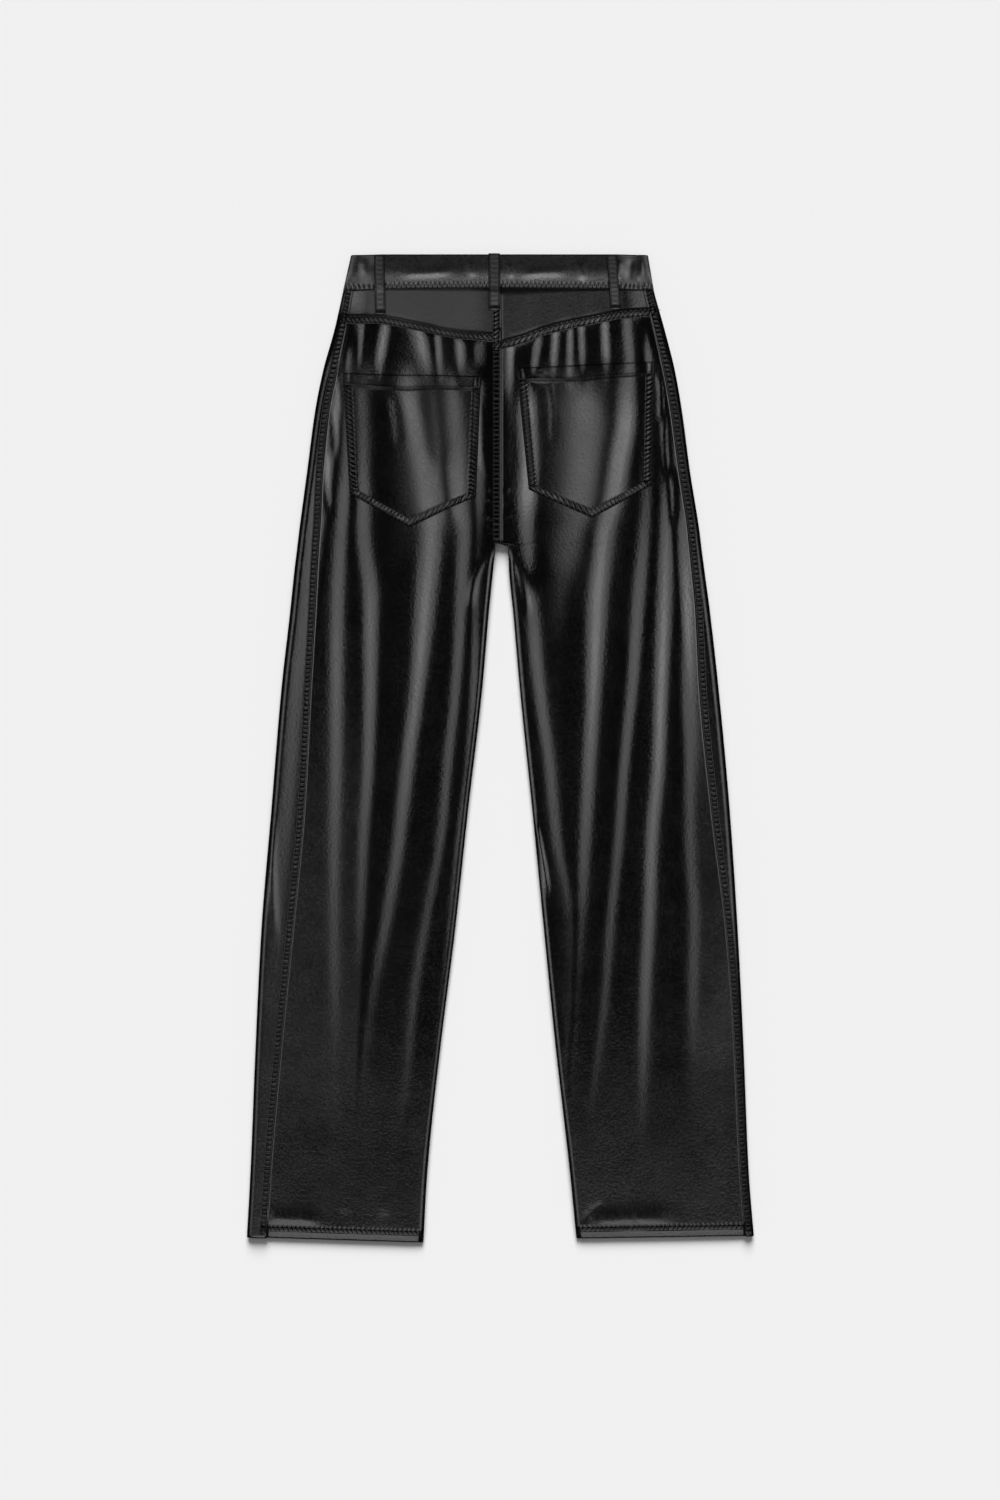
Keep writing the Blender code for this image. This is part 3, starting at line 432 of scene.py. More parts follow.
def shell(name, points, turn, thick, material, values=None):
    # closed cloth: the grid, the same grid moved in by the thickness, and a rounded rim between them
    rows, columns = points.shape[:2]
    outward = gridNormals(points) * turn
    thickness = np.broadcast_to(np.asarray(thick, float), (rows, columns))[..., None] * mm
    under = points - outward * thickness
    middle = 0.5 * (points + under)
    bulge = 0.4 * thickness
    rim = np.zeros((rows + 2, columns + 2, 3))
    rim[1:-1, 1:-1] = middle
    rim[0, 1:-1] = middle[0] + unit(middle[0] - middle[1]) * bulge[0]
    rim[-1, 1:-1] = middle[-1] + unit(middle[-1] - middle[-2]) * bulge[-1]
    rim[1:-1, 0] = middle[:, 0] + unit(middle[:, 0] - middle[:, 1]) * bulge[:, 0]
    rim[1:-1, -1] = middle[:, -1] + unit(middle[:, -1] - middle[:, -2]) * bulge[:, -1]
    for i, j in ((0, 0), (0, -1), (-1, 0), (-1, -1)):
        rim[i, j] = 0.5 * (rim[i, j + 1 if j == 0 else j - 1] + rim[i + 1 if i == 0 else i - 1, j])
    count = rows * columns
    inner = np.zeros((rows + 2, columns + 2), bool)
    inner[1:-1, 1:-1] = True
    ring = np.zeros(inner.shape, int)
    ring[~inner] = 2 * count + np.arange((~inner).sum())
    upper, lower = ring.copy(), ring.copy()
    upper[1:-1, 1:-1] = np.arange(count).reshape(rows, columns)
    lower[1:-1, 1:-1] = count + np.arange(count).reshape(rows, columns)
    quads = [np.stack([g[:-1, :-1], g[:-1, 1:], g[1:, 1:], g[1:, :-1]], axis=-1).reshape(-1, 4)
             for g in (upper, lower)]
    quads[1 if turn > 0 else 0] = quads[1 if turn > 0 else 0][:, ::-1]
    vertices = np.concatenate([points.reshape(-1, 3), under.reshape(-1, 3), rim[~inner]])
    mesh = bpy.data.meshes.new(name)
    mesh.from_pydata(vertices.tolist(), [], np.concatenate(quads).tolist())
    mesh.shade_smooth()
    for label, grid in (values or {}).items():
        grid = np.broadcast_to(grid, (rows, columns)).astype(float)
        edge = np.pad(grid, 1, mode="edge")[~inner]
        layer = mesh.attributes.new(label, "FLOAT", "POINT")
        layer.data.foreach_set("value", np.concatenate([grid.ravel(), grid.ravel(), edge]))
    mesh.materials.append(material)
    piece = bpy.data.objects.new(name, mesh)
    bpy.context.scene.collection.objects.link(piece)
    return piece


def wear(piece, node):
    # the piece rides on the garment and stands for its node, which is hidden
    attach(piece, "root")
    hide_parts(node)


# The leather: roughness from glossy to dull and how far it spreads, sizes in millimetres of the grain,
# the broad unevenness and the puckers along seams, and how much shade is painted into the pucker valleys
leather = {
    "colour": (0.0010, 0.0010, 0.0011), "glossy": 0.17, "dull": 0.36, "spread": 0.04, "fineSpread": 0.08,
    "grainSize": 3.0, "grainDepth": 0.17, "unevenSize": 26.0, "unevenDepth": 0.16,
    "puckerPitch": 5.0, "puckerDepth": 0.42, "puckerPaintedShade": 0.45, "puckerTurn": 1.6,
}


def nodeTools(material):
    # short hands for adding nodes and joining sockets, for a material or the world
    tree = material.node_tree

    def add(kind, **inputs):
        node = tree.nodes.new(kind)
        for key, value in inputs.items():
            node.inputs[key].default_value = value
        return node

    def math(operation, first, second=None):
        node = tree.nodes.new("ShaderNodeMath")
        node.operation = operation
        for socket, value in zip(node.inputs, (first, second)):
            if value is None:
                continue
            if isinstance(value, (int, float)):
                socket.default_value = value
            else:
                tree.links.new(value, socket)
        return node.outputs[0]

    return tree, add, math


def leatherFinish(name, grain=1.0):
    # grain and faint unevenness as bump, puckers along the seams: sin(2 pi run / pitch) on the seam band;
    # roughness = glossy + (dull - glossy) * dull attribute; painted shade lowers the reflection in grooves,
    # at edges, beside seams and in the pucker valleys
    material = bpy.data.materials.new(name)
    material.use_nodes = True
    tree, add, math = nodeTools(material)
    shader = tree.nodes["Principled BSDF"]
    shader.inputs["Base Color"].default_value = (*leather["colour"], 1.0)
    shader.inputs["IOR"].default_value = 1.5
    where = add("ShaderNodeTexCoord").outputs["Object"]
    fine = add("ShaderNodeTexNoise", Scale=1000.0 / leather["grainSize"], Detail=2.0, Roughness=0.6)
    broad = add("ShaderNodeTexNoise", Scale=1000.0 / leather["unevenSize"], Detail=3.0)
    tree.links.new(where, fine.inputs["Vector"])
    tree.links.new(where, broad.inputs["Vector"])
    dulled = add("ShaderNodeAttribute")
    dulled.attribute_name = "dull"
    base = math("MULTIPLY", dulled.outputs["Fac"], leather["dull"] - leather["glossy"])
    base = math("ADD", base, leather["glossy"])
    spread = math("MULTIPLY", math("SUBTRACT", broad.outputs[0], 0.5), 2.0 * leather["spread"])
    fineSpread = math("MULTIPLY", math("SUBTRACT", fine.outputs[0], 0.5), 2.0 * leather["fineSpread"])
    tree.links.new(math("ADD", math("ADD", spread, fineSpread), base), shader.inputs["Roughness"])
    band = add("ShaderNodeAttribute")
    band.attribute_name = "seamBand"
    run = add("ShaderNodeAttribute")
    run.attribute_name = "seamRun"
    turn = math("MULTIPLY", broad.outputs[0], 2.0 * np.pi * leather["puckerTurn"])
    wave = math("MULTIPLY", run.outputs["Fac"], 2.0 * np.pi / leather["puckerPitch"])
    wave = math("SINE", math("ADD", wave, turn))
    height = math("MULTIPLY", math("MULTIPLY", wave, band.outputs["Fac"]), leather["puckerDepth"])
    height = math("ADD", height, math("MULTIPLY", fine.outputs[0], leather["grainDepth"] * grain))
    height = math("ADD", height, math("MULTIPLY", broad.outputs[0], leather["unevenDepth"]))
    bump = add("ShaderNodeBump", Strength=1.0, Distance=mm)
    tree.links.new(height, bump.inputs["Height"])
    tree.links.new(bump.outputs[0], shader.inputs["Normal"])
    # painted shade: a mask that lowers the reflection in grooves, at edges and beside seams
    paintedShade = add("ShaderNodeAttribute")
    paintedShade.attribute_name = "paintedShade"
    # painted shade in the pucker valleys
    valley = math("MULTIPLY", math("SUBTRACT", 0.5, math("MULTIPLY", wave, 0.5)), band.outputs["Fac"])
    shaded = math("ADD", paintedShade.outputs["Fac"], math("MULTIPLY", valley, leather["puckerPaintedShade"]))
    # the reflection left after the painted shade
    unshaded = math("MAXIMUM", math("SUBTRACT", 1.0, shaded), 0.04)
    tree.links.new(math("MULTIPLY", unshaded, 0.5), shader.inputs["Specular IOR Level"])
    return material


# The hidden and small parts: size of their unevenness, how far colour and roughness vary, and the weave
plain = {"noise": 400.0, "shade": 0.2, "roughSpread": 0.1, "weaveStrength": 0.6, "weaveHigh": 0.2}


def plainFinish(name, colour, roughness, metal=0.0, weave=None):
    # one colour * (1 +- shade) and its roughness +- half the spread, following noise; a woven tape has
    # waves as bump
    material = bpy.data.materials.new(name)
    material.use_nodes = True
    tree, add, math = nodeTools(material)
    shader = tree.nodes["Principled BSDF"]
    shader.inputs["Metallic"].default_value = metal
    where = add("ShaderNodeTexCoord").outputs["Object"]
    noise = add("ShaderNodeTexNoise", Scale=plain["noise"], Detail=3.0)
    tree.links.new(where, noise.inputs["Vector"])
    ramp = add("ShaderNodeValToRGB")
    for stop, share in zip(ramp.color_ramp.elements, (1.0 - plain["shade"], 1.0 + plain["shade"])):
        stop.color = (*[share * c for c in colour], 1.0)
    tree.links.new(noise.outputs[0], ramp.inputs[0])
    tree.links.new(ramp.outputs[0], shader.inputs["Base Color"])
    uneven = math("MULTIPLY", noise.outputs[0], plain["roughSpread"])
    tree.links.new(math("ADD", uneven, roughness - 0.5 * plain["roughSpread"]), shader.inputs["Roughness"])
    if weave:
        wave = add("ShaderNodeTexWave", Scale=weave)
        tree.links.new(where, wave.inputs["Vector"])
        bump = add("ShaderNodeBump", Strength=plain["weaveStrength"], Distance=plain["weaveHigh"] * mm)
        tree.links.new(wave.outputs[0], bump.inputs["Height"])
        tree.links.new(bump.outputs[0], shader.inputs["Normal"])
    return material


panelLeather = leatherFinish("panelLeather")
bandLeather = leatherFinish("bandLeather", 0.5)
pocketLeather = leatherFinish("pocketLeather")
loopLeather = leatherFinish("loopLeather")
flyLeather = plainFinish("flyBacking", (0.012, 0.012, 0.012), 0.75)
zipTape = plainFinish("zipTape", (0.015, 0.015, 0.015), 0.85, weave=900.0)
buttonMetal = plainFinish("buttonMetal", (0.24, 0.24, 0.25), 0.35, metal=1.0)
threadBlack = plainFinish("threadBlack", (0.0035, 0.0035, 0.0035), 0.6)
print("finishes ready")


# Grids of the panels: rows in each stretch down a leg, columns, and the close columns along both seams
grids = {
    "gathers": 30, "seat": 72, "crotch": 44, "leg": 205, "aboveHem": 8, "hem": 11,
    "backColumns": 82, "round": 22,
    "seam": np.array([0.0, 0.5, 1.2, 1.8, 2.5, 3.5, 4.5, 5.2, 5.8, 6.5, 7.0, 7.6, 8.4, 9.5]),
    "centre": np.array([12.0, 10.2, 9.0, 8.2, 7.7, 7.1, 6.4, 5.6, 4.5, 3.6, 2.8, 2.0, 1.4, 0.9, 0.5, 0.0]),
}


def legRows(side):
    # rows down a leg: close at the gathers and the crotch, wider down the leg, close at the hem
    gathered, crotch = yokeAtSide(side) + 46, garment["crotch"]
    low = hemAtSide(side)
    stitched = low - garment["hem"] - 1.5
    ends = [gathered, crotch - 40.0, crotch + 40.0, stitched - 12.5, stitched]
    starts = [yokeAtSide(side) - garment["yokeLap"] + 1.5, *ends]
    counts = [grids[name] for name in ("gathers", "seat", "crotch", "leg", "aboveHem")]
    stretches = [np.linspace(a, b, count)[:-1] for a, b, count in zip(starts, ends, counts)]
    return np.concatenate([*stretches, np.linspace(stitched, low, grids["hem"])])


def bentRows(side, rows, out):
    # rows follow the yoke seam at the top, over the gathers and the seat, and the hem at the bottom
    atSide = yokeAtSide(side)
    seam = (yokeEdge(side, out) - atSide) * (1.0 - smoothStep(atSide + 46, 250, rows)[:, None])
    return rows[:, None] + seam + hemBend(side, out, rows)


def backColumns(side, rows, count):
    # columns from the side seam to the inner edge or the centre seam, close at both and even between
    seam, inner = legLine(side, "seam", rows), legLine(side, "inner", rows)
    fromInner = grids["centre"] + np.zeros_like(inner)
    fromInner[:, -2] *= 1.0 - legOpen(rows)
    part = np.linspace(0.0, 1.0, count + 2)[1:-1]
    start, end = seam - grids["seam"][-1], inner + fromInner[:, :1]
    return np.hstack([seam - grids["seam"], start + (end - start) * part, inner + fromInner])


def paintedShadeLines(distance, *rows, wide=0.85):
    # painted shade along lines such as the grooves that the stitch rows pull into the leather: exp(-((distance -
    # row) / wide)^2) for each
    total = 0.0
    for row in rows:
        total = np.maximum(total, np.exp(-((distance - row) / wide) ** 2))
    return total


def bandMask(distance, width):
    # 1 between the two stitch rows of a lapped seam, 0 at its edges
    return smoothStep(0.2, 1.4, distance) * (1.0 - smoothStep(width - 1.4, width - 0.2, distance))


def rowDips(distance, rows, deep=garment["rowDip"], wide=garment["rowWide"]):
    # the leather dips under stitch rows: deep * exp(-((distance - row) / wide)^2), summed over the rows
    return deep * sum(np.exp(-((distance - row) / wide) ** 2) for row in rows)


def turnedUp(side, rows):
    # true in the rows where the hem is turned up
    return (rows > hemAtSide(side) - garment["hem"] - 0.1)[:, None]


def lapRise(side, rows, out):
    # a back piece is raised where it lies on its neighbour, dips under the two stitch rows, and falls
    # towards the hem's edge by hemFall * (1 - distance / hemFallWide)^hemFallCurve
    fromSeam, fromHem = legLine(side, "seam", rows) - out, (hemAtSide(side) - rows)[:, None]
    rise = garment["lapRise"] + garment["cloth"] * turnedUp(side, rows)
    rise = rise * (1.0 - smoothStep(*garment["seamEnd"], fromSeam)) - rowDips(fromSeam, garment["seamRows"])
    part = (1.0 - fromHem / garment["hemFallWide"]).clip(0.0)
    rise = rise - garment["hemFall"] * part ** garment["hemFallCurve"]
    if side == "right":
        fromInner = out - legLine(side, "inner", rows)
        closed = (1.0 - smoothStep(garment["crotch"] - 2.0, garment["crotch"], rows))[:, None]
        rise = rise + closed * garment["lapRise"] * (1.0 - smoothStep(*garment["centreEnd"], fromInner))
        rise = rise - closed * rowDips(fromInner, garment["centreRows"])
    return rise


# How sewn edges look, in millimetres from the edge: painted shade in grooves beside the stitches and at the
# foot of a lap, and how dull and puckered the bands between the rows are
seamLook = {
    "grooves": (0.8, 6.2), "grooveWide": 0.65, "foot": 7.8, "footWide": 0.8, "footShare": 0.6,
    "centreGrooves": (0.2, 1.4, 6.6, 9.2), "centreWide": 0.8, "hemGroove": 11.8, "hemGrooveWide": 1.1,
    "most": 0.9, "bandDull": 0.75, "hemDull": 0.3, "hemPuckers": 0.6, "hemLean": 0.4,
}


def seamValues(side, rows, out, down):
    # for the leather's finish: where it puckers, the distance along the seam, the painted shade of the grooves
    # and edges, and the dull places
    fromSeam, fromHem, hem = legLine(side, "seam", rows) - out, hemEdge(side, out) - down, garment["hem"]
    hemBand = (1.0 - smoothStep(hem + 1.0, hem + 3.5, fromHem)) * smoothStep(hem - 5.0, hem - 2.0, fromHem)
    hemTurned = 1.0 - smoothStep(hem - 2.0, hem, fromHem)
    band = bandMask(fromSeam, garment["seamBand"])
    # painted shade beside the stitch rows, at the lap's foot, above the hem, at the edges and the centre seam
    foot = seamLook["footShare"] * paintedShadeLines(fromSeam, seamLook["foot"], wide=seamLook["footWide"])
    paintedShade = np.maximum(paintedShadeLines(fromSeam, *seamLook["grooves"], wide=seamLook["grooveWide"]), foot)
    paintedShade = np.maximum(paintedShade, paintedShadeLines(fromHem, seamLook["hemGroove"], wide=seamLook["hemGrooveWide"]))
    paintedShade = np.maximum(paintedShade, paintedEdgeShade(side, out, down))
    if side == "right":
        fromInner = out - legLine(side, "inner", rows)
        closed = (rows < garment["crotch"])[:, None]
        band = np.maximum(band, bandMask(fromInner, garment["centreBand"]) * closed)
        centre = paintedShadeLines(fromInner, *seamLook["centreGrooves"], wide=seamLook["centreWide"]) * closed
        paintedShade = np.maximum(paintedShade, centre)
    dullBand = np.maximum(seamLook["bandDull"] * band, seamLook["hemDull"] * hemTurned)
    return {"seamBand": np.maximum(band, seamLook["hemPuckers"] * hemBand),
            "seamRun": np.where(hemBand > band, out + seamLook["hemLean"] * down, down),
            "paintedShade": seamLook["most"] * paintedShade, "dull": np.maximum(dull(side, out, down), dullBand)}


def backPanel(side):
    # the back's height on a grid from the side seam to the inner edge or centre seam, raised on its laps
    rows = legRows(side)
    out = backColumns(side, rows, grids["backColumns"])
    down = bentRows(side, rows, out)
    height = upperHeight(side, out, down)
    height[:, -2] += garment["edgeStand"] * legOpen(rows)
    points = lifted(place(side, out, down, height), lapRise(side, rows, out), sign[side])
    thick = garment["shell"] * (1.0 + turnedUp(side, rows))
    piece = shell("back" + side.title(), points, sign[side], thick, panelLeather,
                  seamValues(side, rows, out, down))
    wear(piece, f"back_{side}")


def frontPanel(side):
    # along the surface from the inner edge, round the outer edge, and under the side seam: flat, then
    # quarter circles 1 - cos(angle) wide at both edges
    top, low = garment["bandEdges"][1] + garment["gap"], hemAtSide(side)
    rows = np.concatenate([np.linspace(top, yokeAtSide(side) - 8.0, 14)[:-1], legRows(side)[::2]])
    if rows[-1] < low:
        rows = np.append(rows, low)
    edge, seam, inner = (legLine(side, name, rows) for name in ("edge", "seam", "inner"))
    centre = sign[side] * garment["centreX"] + 0.5 * garment["gap"]
    inner = np.where(rows[:, None] < garment["crotch"] - 1.0, centre, inner)
    turn = garment["rollIn"] * (1.0 - np.cos(np.radians([0, 0, 14, 27, 40, 52, 65, 78, 90]))) + 0.0 * inner
    turn[:, 1] = 0.5 * (1.0 - legOpen(rows))
    start = inner + turn
    angle = np.radians(np.linspace(90.0, 0.0, 13))
    end = edge - rollOut(side, rows)[:, None] * (1.0 - np.cos(angle))
    part = np.linspace(0.0, 1.0, grids["round"])[1:]
    below = np.hstack([start, start[:, -1:] + (end[:, :1] - start[:, -1:]) * part[:-1], end])
    above = np.hstack([edge - (edge - seam) * part ** 1.6,
                       seam - np.array([2.0, 4.0, garment["seamBand"] - 1.0])])
    out = np.hstack([below, above])
    down = rows[:, None] + hemBend(side, out, rows)
    downBelow, downAbove = np.split(down, [below.shape[1]], axis=1)
    under = lowerHeight(side, below, downBelow, inner, rows[:, None])
    under[:, 1] -= garment["edgeStand"] * legOpen(rows)
    points = place(side, out, down, np.hstack([under, upperHeight(side, above, downAbove)]))
    thick = garment["shell"] * (1.0 + turnedUp(side, rows))
    shine = np.hstack([np.full(below.shape, dullness["front"]), dull(side, above, downAbove)])
    # painted shade at the turned edges of the front
    values = {"seamBand": 0.0, "seamRun": down, "dull": shine, "paintedShade": paintedEdgeShade(side, out, down)}
    piece = shell("front" + side.title(), points, sign[side], thick, panelLeather, values)
    wear(piece, f"front_{side}")


for side in sign:
    frontPanel(side)
    backPanel(side)
print("leg panels laid")


# The yokes: grid, how dull the leather is, and how far it is less so at the left one's centre and the ends
yoke = {
    "columns": 110, "straight": 24.0, "bend": 19.0,
    "lowRows": np.array([10.0, 9.2, 8.6, 8.0, 7.2, 6.4, 5.6, 4.8, 3.6, 2.4, 1.6, 0.9, 0.4, 0.0]),
    "seamGrooves": (1.1, 5.9), "lapGrooves": (1.1, 6.9), "centreGrooves": (1.2, 6.6, 9.2), "lean": 0.5,
    "dull": {"left": 2.0, "right": 0.85},
    "centreLess": {"left": 0.55, "right": 0.0}, "centreSpan": (10.0, 42.0),
    "endLess": 0.6, "endFrom": {"left": 140.0, "right": 126.0}, "endWide": 12.0,
}


def yokePiece(side):
    # a strip from the waistband to the yoke seam, on the back's height, raised on the gathered panel;
    # its rows follow the yoke's edge below and the waistband's above
    low, top, lap = yokeAtSide(side), garment["bandEdges"][1] + garment["gap"], garment["yokeLap"]
    rows = np.concatenate([np.linspace(top, low - yoke["bend"], 12)[:-1],
                           np.linspace(low - yoke["bend"], low - lap - 2.0, 7)[:-1], low - yoke["lowRows"]])
    out = backColumns(side, rows, yoke["columns"])
    fromLow = (low - rows)[:, None] + 0.0 * out
    down = yokeEdge(side, out) - fromLow
    upper = bandEdge(out[:1]) + garment["gap"]
    stretch = np.clip((fromLow - yoke["straight"]) / (low - top - yoke["straight"]), 0.0, 1.0)
    down = down + (upper - (yokeEdge(side, out[:1]) - (low - top))) * stretch
    fromSeam, fromInner = legLine(side, "seam", rows) - out, out - legLine(side, "inner", rows)
    rise = lapRise(side, rows, out) + garment["lapRise"] * (1.0 - smoothStep(lap, lap + 2.0, fromLow))
    rise = rise - rowDips(fromLow, garment["yokeRows"])
    band, sideBand = bandMask(fromLow, lap), bandMask(fromSeam, garment["seamBand"])
    # painted shade along the side seam's grooves and foot, the lap's grooves and the centre seam's grooves
    foot = seamLook["footShare"] * paintedShadeLines(fromSeam, seamLook["foot"], wide=seamLook["footWide"])
    paintedShade = np.maximum(paintedShadeLines(fromSeam, *yoke["seamGrooves"]), foot * (fromLow > lap))
    paintedShade = np.maximum(paintedShade, paintedShadeLines(fromLow, *yoke["lapGrooves"]))
    if side == "right":
        extra = smoothStep(-yoke["straight"], -yoke["bend"], -fromLow)
        extra = extra * (1.0 - smoothStep(lap, lap + 2.0, 2 * lap + 2.0 - fromLow)) * (fromLow > lap + 1.9)
        rise = rise + garment["lapRise"] * extra * (1.0 - smoothStep(*garment["centreEnd"], fromInner))
        paintedShade = np.maximum(paintedShade, paintedShadeLines(fromInner, *yoke["centreGrooves"]))
        band = np.maximum(band, bandMask(fromInner, garment["centreBand"]) * (fromLow > lap))
    upright = (sideBand > band) | (fromLow > lap)
    shine = yoke["dull"][side] * (1.0 - yoke["centreLess"][side] * (1.0 - smoothStep(*yoke["centreSpan"], out)))
    shine = shine * (1.0 - yoke["endLess"] * smoothStep(0.0, yoke["endWide"], out - yoke["endFrom"][side]))
    values = {"seamBand": np.maximum(band, sideBand), "paintedShade": seamLook["most"] * paintedShade, "dull": shine,
              "seamRun": np.where(upright, down + yoke["lean"] * out, out + yoke["lean"] * down)}
    points = lifted(place(side, out, down, upperHeight(side, out, down)), rise, sign[side])
    piece = shell("yoke" + side.title(), points, sign[side], garment["shell"], panelLeather, values)
    wear(piece, f"yoke_{side}")


for side in sign:
    yokePiece(side)
print("yokes laid")


# The waistband: its height, the overlap at the front, how far it falls towards its lower edge and its ends,
# and its stitch rows, from the top and from the lower edge
waistband = {
    "top": 1.0, "high": 13.0, "wall": 2.0, "tab": 26.0, "tabEnd": (8.0, 30.0), "columns": (110, 23, 50),
    "fall": 2.2, "fallFrom": 0.42, "endFall": 3.2, "endWide": 28.0,
    "topRow": 3.0, "lowRow": 4.0, "rowDip": 0.2, "rowWide": 0.7, "dull": 0.62, "puckers": 0.6,
}


def bandPiece(side):
    # a closed profile carried down the rows: flat from the centre back, half an ellipse round the side
    # (cos and sin of the angle), and flat along the surface to the centre front
    centre, low = sign[side] * garment["centreX"] + 0.5 * garment["gap"], garment["bandEdges"][1]
    high, wall, end = waistband["high"], waistband["wall"], low - 3.0
    rows = np.concatenate([[1.0, 1.4, 2.0], np.linspace(3.0, end, 17), end + np.array([1.0, 1.7, 2.3, 3.0])])
    edge, floor = legLine(side, "edge", rows), ground(rows)[:, None]
    turn = garment["rollShare"] * high + 0.0 * edge
    frontEnd = -waistband["tab"] if side == "right" else 0.0
    backCount, roundCount, frontCount = waistband["columns"]
    back = centre + (edge - turn - centre) * np.linspace(0.0, 1.0, backCount)
    front = edge - turn - (edge - turn - centre - frontEnd) * np.linspace(0.0, 1.0, frontCount)
    angle, middle = np.radians(np.linspace(90.0, -90.0, roundCount)[1:-1]), 0.5 * (high + floor)
    inside = 0.0 if side == "left" else wall + garment["gap"]
    tab = inside * (1.0 - smoothStep(centre + waistband["tabEnd"][0], centre + waistband["tabEnd"][1], front))
    out = np.hstack([back, edge - turn + turn * np.cos(angle), front])
    fall = waistband["fall"] * smoothStep(waistband["fallFrom"], 1.0, rows / low)[:, None]
    lowEnd = waistband["endFall"] * smoothStep(-waistband["endWide"], 0.0, back - (edge - turn))
    sideHigh = middle + (high - middle) * np.sin(angle) \
        - (fall + waistband["endFall"]) * np.sin(angle).clip(0.0)
    backHigh = high - fall - lowEnd + relief(bandCreases[side], back, rows[:, None])
    down = rows[:, None] + (bandEdge(out) - low) * smoothStep(0.0, 1.0, rows / low)[:, None]
    points = place(side, out, down, np.hstack([backHigh, sideHigh, floor + 0 * front + tab]))
    fromTop, fromLow = rows[:, None] - waistband["top"], low - rows[:, None]
    dips = rowDips(fromLow, [waistband["lowRow"]], waistband["rowDip"], waistband["rowWide"]) \
        + rowDips(fromTop, [waistband["topRow"]], waistband["rowDip"], waistband["rowWide"])
    points = lifted(points, 0.0 * out - dips, -sign[side])
    band = np.exp(-((fromLow - waistband["lowRow"]) / 2.0) ** 2)
    # painted shade along the lower edge, beside the lower stitch row and at the top stitch row
    paintedShade = 0.8 * paintedShadeLines(fromLow, 4.2, 0.0) + 0.6 * paintedShadeLines(fromTop, waistband["topRow"], wide=0.6)
    piece = shell("band" + side.title(), points, -sign[side], wall - waistband["rowDip"], bandLeather,
                  {"seamBand": waistband["puckers"] * band, "seamRun": out, "dull": waistband["dull"],
                   "paintedShade": paintedShade})
    wear(piece, f"waistband_{side}")


for side in sign:
    bandPiece(side)
print("waistband laid")


# Patch pockets: outer and inner end of the top edge, outer and inner lower corner and tip as (out, down);
# "across" and "along" stand for a pocket's size, and "turned" is the extra height of its turned top
pockets = {
    "left": {"topOut": (173.5, 131.0), "topIn": (22.5, 134.5), "lowOut": (166.5, 262.5),
             "lowIn": (28.0, 266.0), "tip": (101.0, 299.5)},
    "right": {"topOut": (168.5, 118.5), "topIn": (17.5, 125.0), "lowOut": (165.5, 253.5),
              "lowIn": (31.0, 258.0), "tip": (100.0, 290.0)},
    "size": 150.0, "rise": 1.3, "turned": 0.7, "turnedEnd": (0.09, 0.11), "band": 9.0, "rows": (1.6, 8.0),
    "rowDips": (0.25, 0.3), "rowWides": (0.7, 0.8), "puckers": 0.8, "bandDull": 0.25, "topRow": 0.085,
    "edgeGrid": np.array([0.0, 0.004, 0.009, 0.016]), "topGrid": np.array([0.0, 0.003, 0.008, 0.014]),
}


def pocketSpot(side, across, downPart):
    # out and down of a point of the pocket: straight between its top edge and its pointed lower edge
    form = pockets[side]
    across, downPart = np.broadcast_arrays(np.asarray(across, float), np.asarray(downPart, float))
    tip = (form["lowOut"][0] - form["tip"][0]) / (form["lowOut"][0] - form["lowIn"][0])
    spot = []
    for k in (0, 1):
        top = form["topOut"][k] * (1 - across) + form["topIn"][k] * across
        low = np.interp(across, [0, tip, 1], [form["lowOut"][k], form["tip"][k], form["lowIn"][k]])
        spot.append(top * (1 - downPart) + low * downPart)
    return spot


def pocketTurn(downPart):
    # the turned top lies one cloth higher: 1 - smoothStep of the share of the way down
    return pockets["turned"] * (1.0 - smoothStep(*pockets["turnedEnd"], downPart))


def pocketPiece(side):
    # the back's height raised by the cloth, dipped under the stitch rows, over a grid between the edges
    end = 1.0 - pockets["edgeGrid"][::-1]
    across = np.concatenate([pockets["edgeGrid"], np.linspace(0.025, 0.975, 74), end])
    downPart = np.concatenate([pockets["topGrid"], np.linspace(0.022, 0.975, 84), end])
    out, down = pocketSpot(side, across[:, None], downPart[None, :])
    out, down, across, downPart = out.T, down.T, across[None, :], downPart[:, None]
    nearSide = np.minimum(across, 1.0 - across)
    edge = pockets["size"] * np.minimum(nearSide, 1.0 - downPart)
    rise = pockets["rise"] + pocketTurn(downPart)
    for row, deep, wide in zip(pockets["rows"], pockets["rowDips"], pockets["rowWides"]):
        rise = rise - rowDips(edge, [row], deep, wide)
    points = lifted(place(side, out, down, upperHeight(side, out, down)), rise, sign[side])
    band = bandMask(edge, pockets["band"]) * (downPart > 0.1)
    # painted shade along the stitch rows, the outline and the turned top
    paintedShade = np.maximum(paintedShadeLines(edge, 1.6, 8.2), paintedShadeLines(edge, 0.0, wide=1.2))
    paintedShade = np.maximum(paintedShade, paintedShadeLines(pockets["size"] * downPart, 0.0, 12.8, 15.2, wide=1.3))
    values = {"seamBand": pockets["puckers"] * band, "paintedShade": seamLook["most"] * paintedShade,
              "seamRun": np.where(nearSide < 1.0 - downPart, down + 0.5 * out, out - 0.5 * down),
              "dull": np.maximum(dull(side, out, down), pockets["bandDull"] * band)}
    piece = shell("pocket" + side.title(), points, sign[side], garment["shell"], pocketLeather, values)
    wear(piece, f"pocket_{side}")


for side in sign:
    pocketPiece(side)
print("pockets laid")


